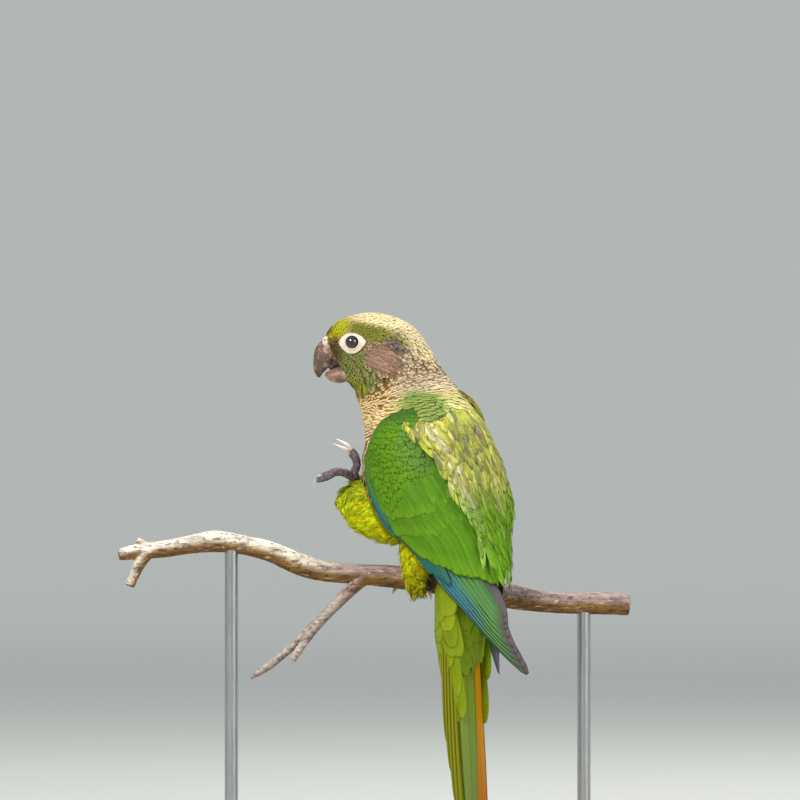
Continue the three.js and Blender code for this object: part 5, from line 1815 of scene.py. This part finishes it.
def stand_rod(name, x, node):
    """A steel rod from the base into the branch, with a collar round its foot."""
    _, y, z, r = branch_at(x)
    low = BASE_SIZE[2]
    top = z - r * 0.55
    rod = primitive(name, bpy.ops.mesh.primitive_cylinder_add, vertices=40,
                    radius=ROD_RADIUS * MM, depth=(top - low) * MM,
                    location=(x * MM, y * MM, (top + low) / 2 * MM))
    collar = primitive(f"{name}_collar", bpy.ops.mesh.primitive_cylinder_add, vertices=48,
                       radius=COLLAR_RADIUS * MM, depth=COLLAR_HEIGHT * MM,
                       location=(x * MM, y * MM, (low + COLLAR_HEIGHT / 2) * MM))
    rounded(collar, lambda a, b: min(a.z, b.z) > low + COLLAR_HEIGHT - 0.1, COLLAR_EDGE, 4)
    alone(rod, collar)
    bpy.ops.object.join()
    bpy.ops.object.shade_smooth_by_angle(angle=SHARP_ANGLE)
    dress(rod, STEEL, (node,))


# Camera, floor and light, in metres

CAMERA_AT = (-0.0036, -4.0, 0.2246)
CAMERA_LENS = 400
FLOOR_FLAT = 5.5
FLOOR_CURVE = 2.5
FLOOR_TOP = 3.4
AIM = (0, 0, 0.2)


def camera():
    lens = bpy.data.cameras.new("camera")
    lens.lens = CAMERA_LENS
    lens.sensor_width = 36
    lens.clip_start = 0.1
    lens.clip_end = 50
    made = linked("camera", lens)
    made.location = CAMERA_AT
    made.rotation_euler = (math.pi / 2, 0, 0)
    bpy.context.scene.camera = made


def studio():
    """A round paper sweep, whose rim curves up far behind everything on all sides."""
    profile = [(3.0, 0.0), (FLOOR_FLAT, 0.0)]
    for step in range(1, 17):
        angle = math.pi / 2 * step / 16
        profile.append((FLOOR_FLAT + FLOOR_CURVE * math.sin(angle),
                        FLOOR_CURVE * (1 - math.cos(angle))))
    profile.append((FLOOR_FLAT + FLOOR_CURVE, FLOOR_TOP))
    sides = 128
    around = np.linspace(0, 2 * np.pi, sides, endpoint=False)
    rings = np.array([[(r * math.cos(a), r * math.sin(a), z) for a in around]
                      for r, z in profile]) / MM
    points = np.concatenate([rings.reshape(-1, 3), [[0, 0, 0]]])
    j = np.arange(sides)
    middle = np.stack([np.full(sides, len(points) - 1), (j + 1) % sides, j], -1)
    quads = grid_faces(len(profile), sides, closed=True)
    floor = linked("studio_floor", mesh_of("studio_floor", points, quads, middle))
    paper = Finish("Studio paper", 0.9)
    away = paper.put("ShaderNodeVectorMath", {0: paper.at}, operation="LENGTH").outputs["Value"]
    # Painted shade: the paper is darker near the middle, where the lamps light it most, and paler
    # far off.
    colour = paper.mixed(paper.mask(away, 0.6, 6.0), solid_tone(172, 175, 170),
                         solid_tone(220, 223, 218))
    floor.data.materials.append(paper.done(colour))


def lamp(name, at, size, power, colour):
    light = bpy.data.lights.new(name, "AREA")
    light.shape = "DISK"
    light.size = size
    light.energy = power
    light.color = colour
    made = linked(name, light)
    made.location = at
    made.rotation_euler = (Vector(AIM) - Vector(at)).to_track_quat("-Z", "Y").to_euler()


def lights():
    lamp("key", (-1.0, -1.6, 1.6), 0.8, 48, (1.0, 0.96, 0.9))
    lamp("fill", (1.7, -1.3, 0.9), 1.2, 18, (0.92, 0.96, 1.0))
    lamp("top", (0.5, 1.1, 1.6), 0.8, 30, (1.0, 0.98, 0.94))
    world = bpy.data.worlds.new("studio_world")
    world.use_nodes = True
    sky = world.node_tree.nodes["Background"].inputs
    sky["Color"].default_value = (0.92, 0.95, 1.0, 1)
    sky["Strength"].default_value = 0.7
    bpy.context.scene.world = world
    bpy.context.scene.view_settings.view_transform = "Standard"


camera()
studio()
lights()

body_skin()
head_coat()
neck_coat()
torso_coat()
thigh_coat("coat_thigh_left", LEFT_THIGH, 71, 0.4, 3.5)
thigh_coat("coat_thigh_right", RIGHT_THIGH, 81, 0.5, 4.5)
for name, sheet in WINGS.items():
    wing_flesh(name, sheet)
    covert_coat(name, sheet)
    wing_feathers(name, sheet)
cape_coat()
tail_feathers()
tail_coverts()

bill("bill_upper", UPPER_BILL, "upper_bill", 0.05, [(122, 92, 80), (104, 80, 72), (66, 50, 44)])
bill("bill_lower", LOWER_BILL, "lower_bill", 0.02, [(132, 98, 80), (160, 118, 92), (116, 86, 70)])
tongue()
for name, side in (("left", 1), ("right", -1)):
    eye(f"eyeball_{name}", side)
    eye_ring(f"eye_ring_{name}", side)
    cere(f"cere_{name}", side)

foot("foot_grip", GRIP_TOES, GRIP_PALM, (3.4, 3, 2), "foot_left")
foot("foot_raised", RAISED_TOES, RAISED_PALM, (2.6, 3.4, 2.8), "foot_right")
shank("shank_left", LEFT_SHANK, "leg_left")
shank("shank_right", RIGHT_SHANK, "leg_right")
for i, toe in enumerate(GRIP_TOES):
    hook = (0, -0.75, -0.1) if i < 2 else (0, 0.6, -0.3)
    claw(f"claw_grip_{i + 1}", toe, 4.2, hook, f"claw_left_{i + 1}")
for i, toe in enumerate(RAISED_TOES):
    hook = (0.5, 0, -0.6) if i < 2 else (-0.9, 0.2, 0.1)
    claw(f"claw_raised_{i + 1}", toe, 3.6 if i < 2 else 5, hook, f"claw_right_{i + 1}")

branch_piece("branch", [(BRANCH, 160), (STUB, 12), (KNOT, 8)], "perch", BRANCH_GRAIN)
branch_piece("branch_twig", [(TWIG, 40), (TWIG_LONG, 40)], "perch_twig", TWIG_GRAIN)
stand_base()
stand_rod("stand_post_left", -ROD_SPREAD, "stand_rod_left")
stand_rod("stand_post_right", ROD_SPREAD, "stand_rod_right")
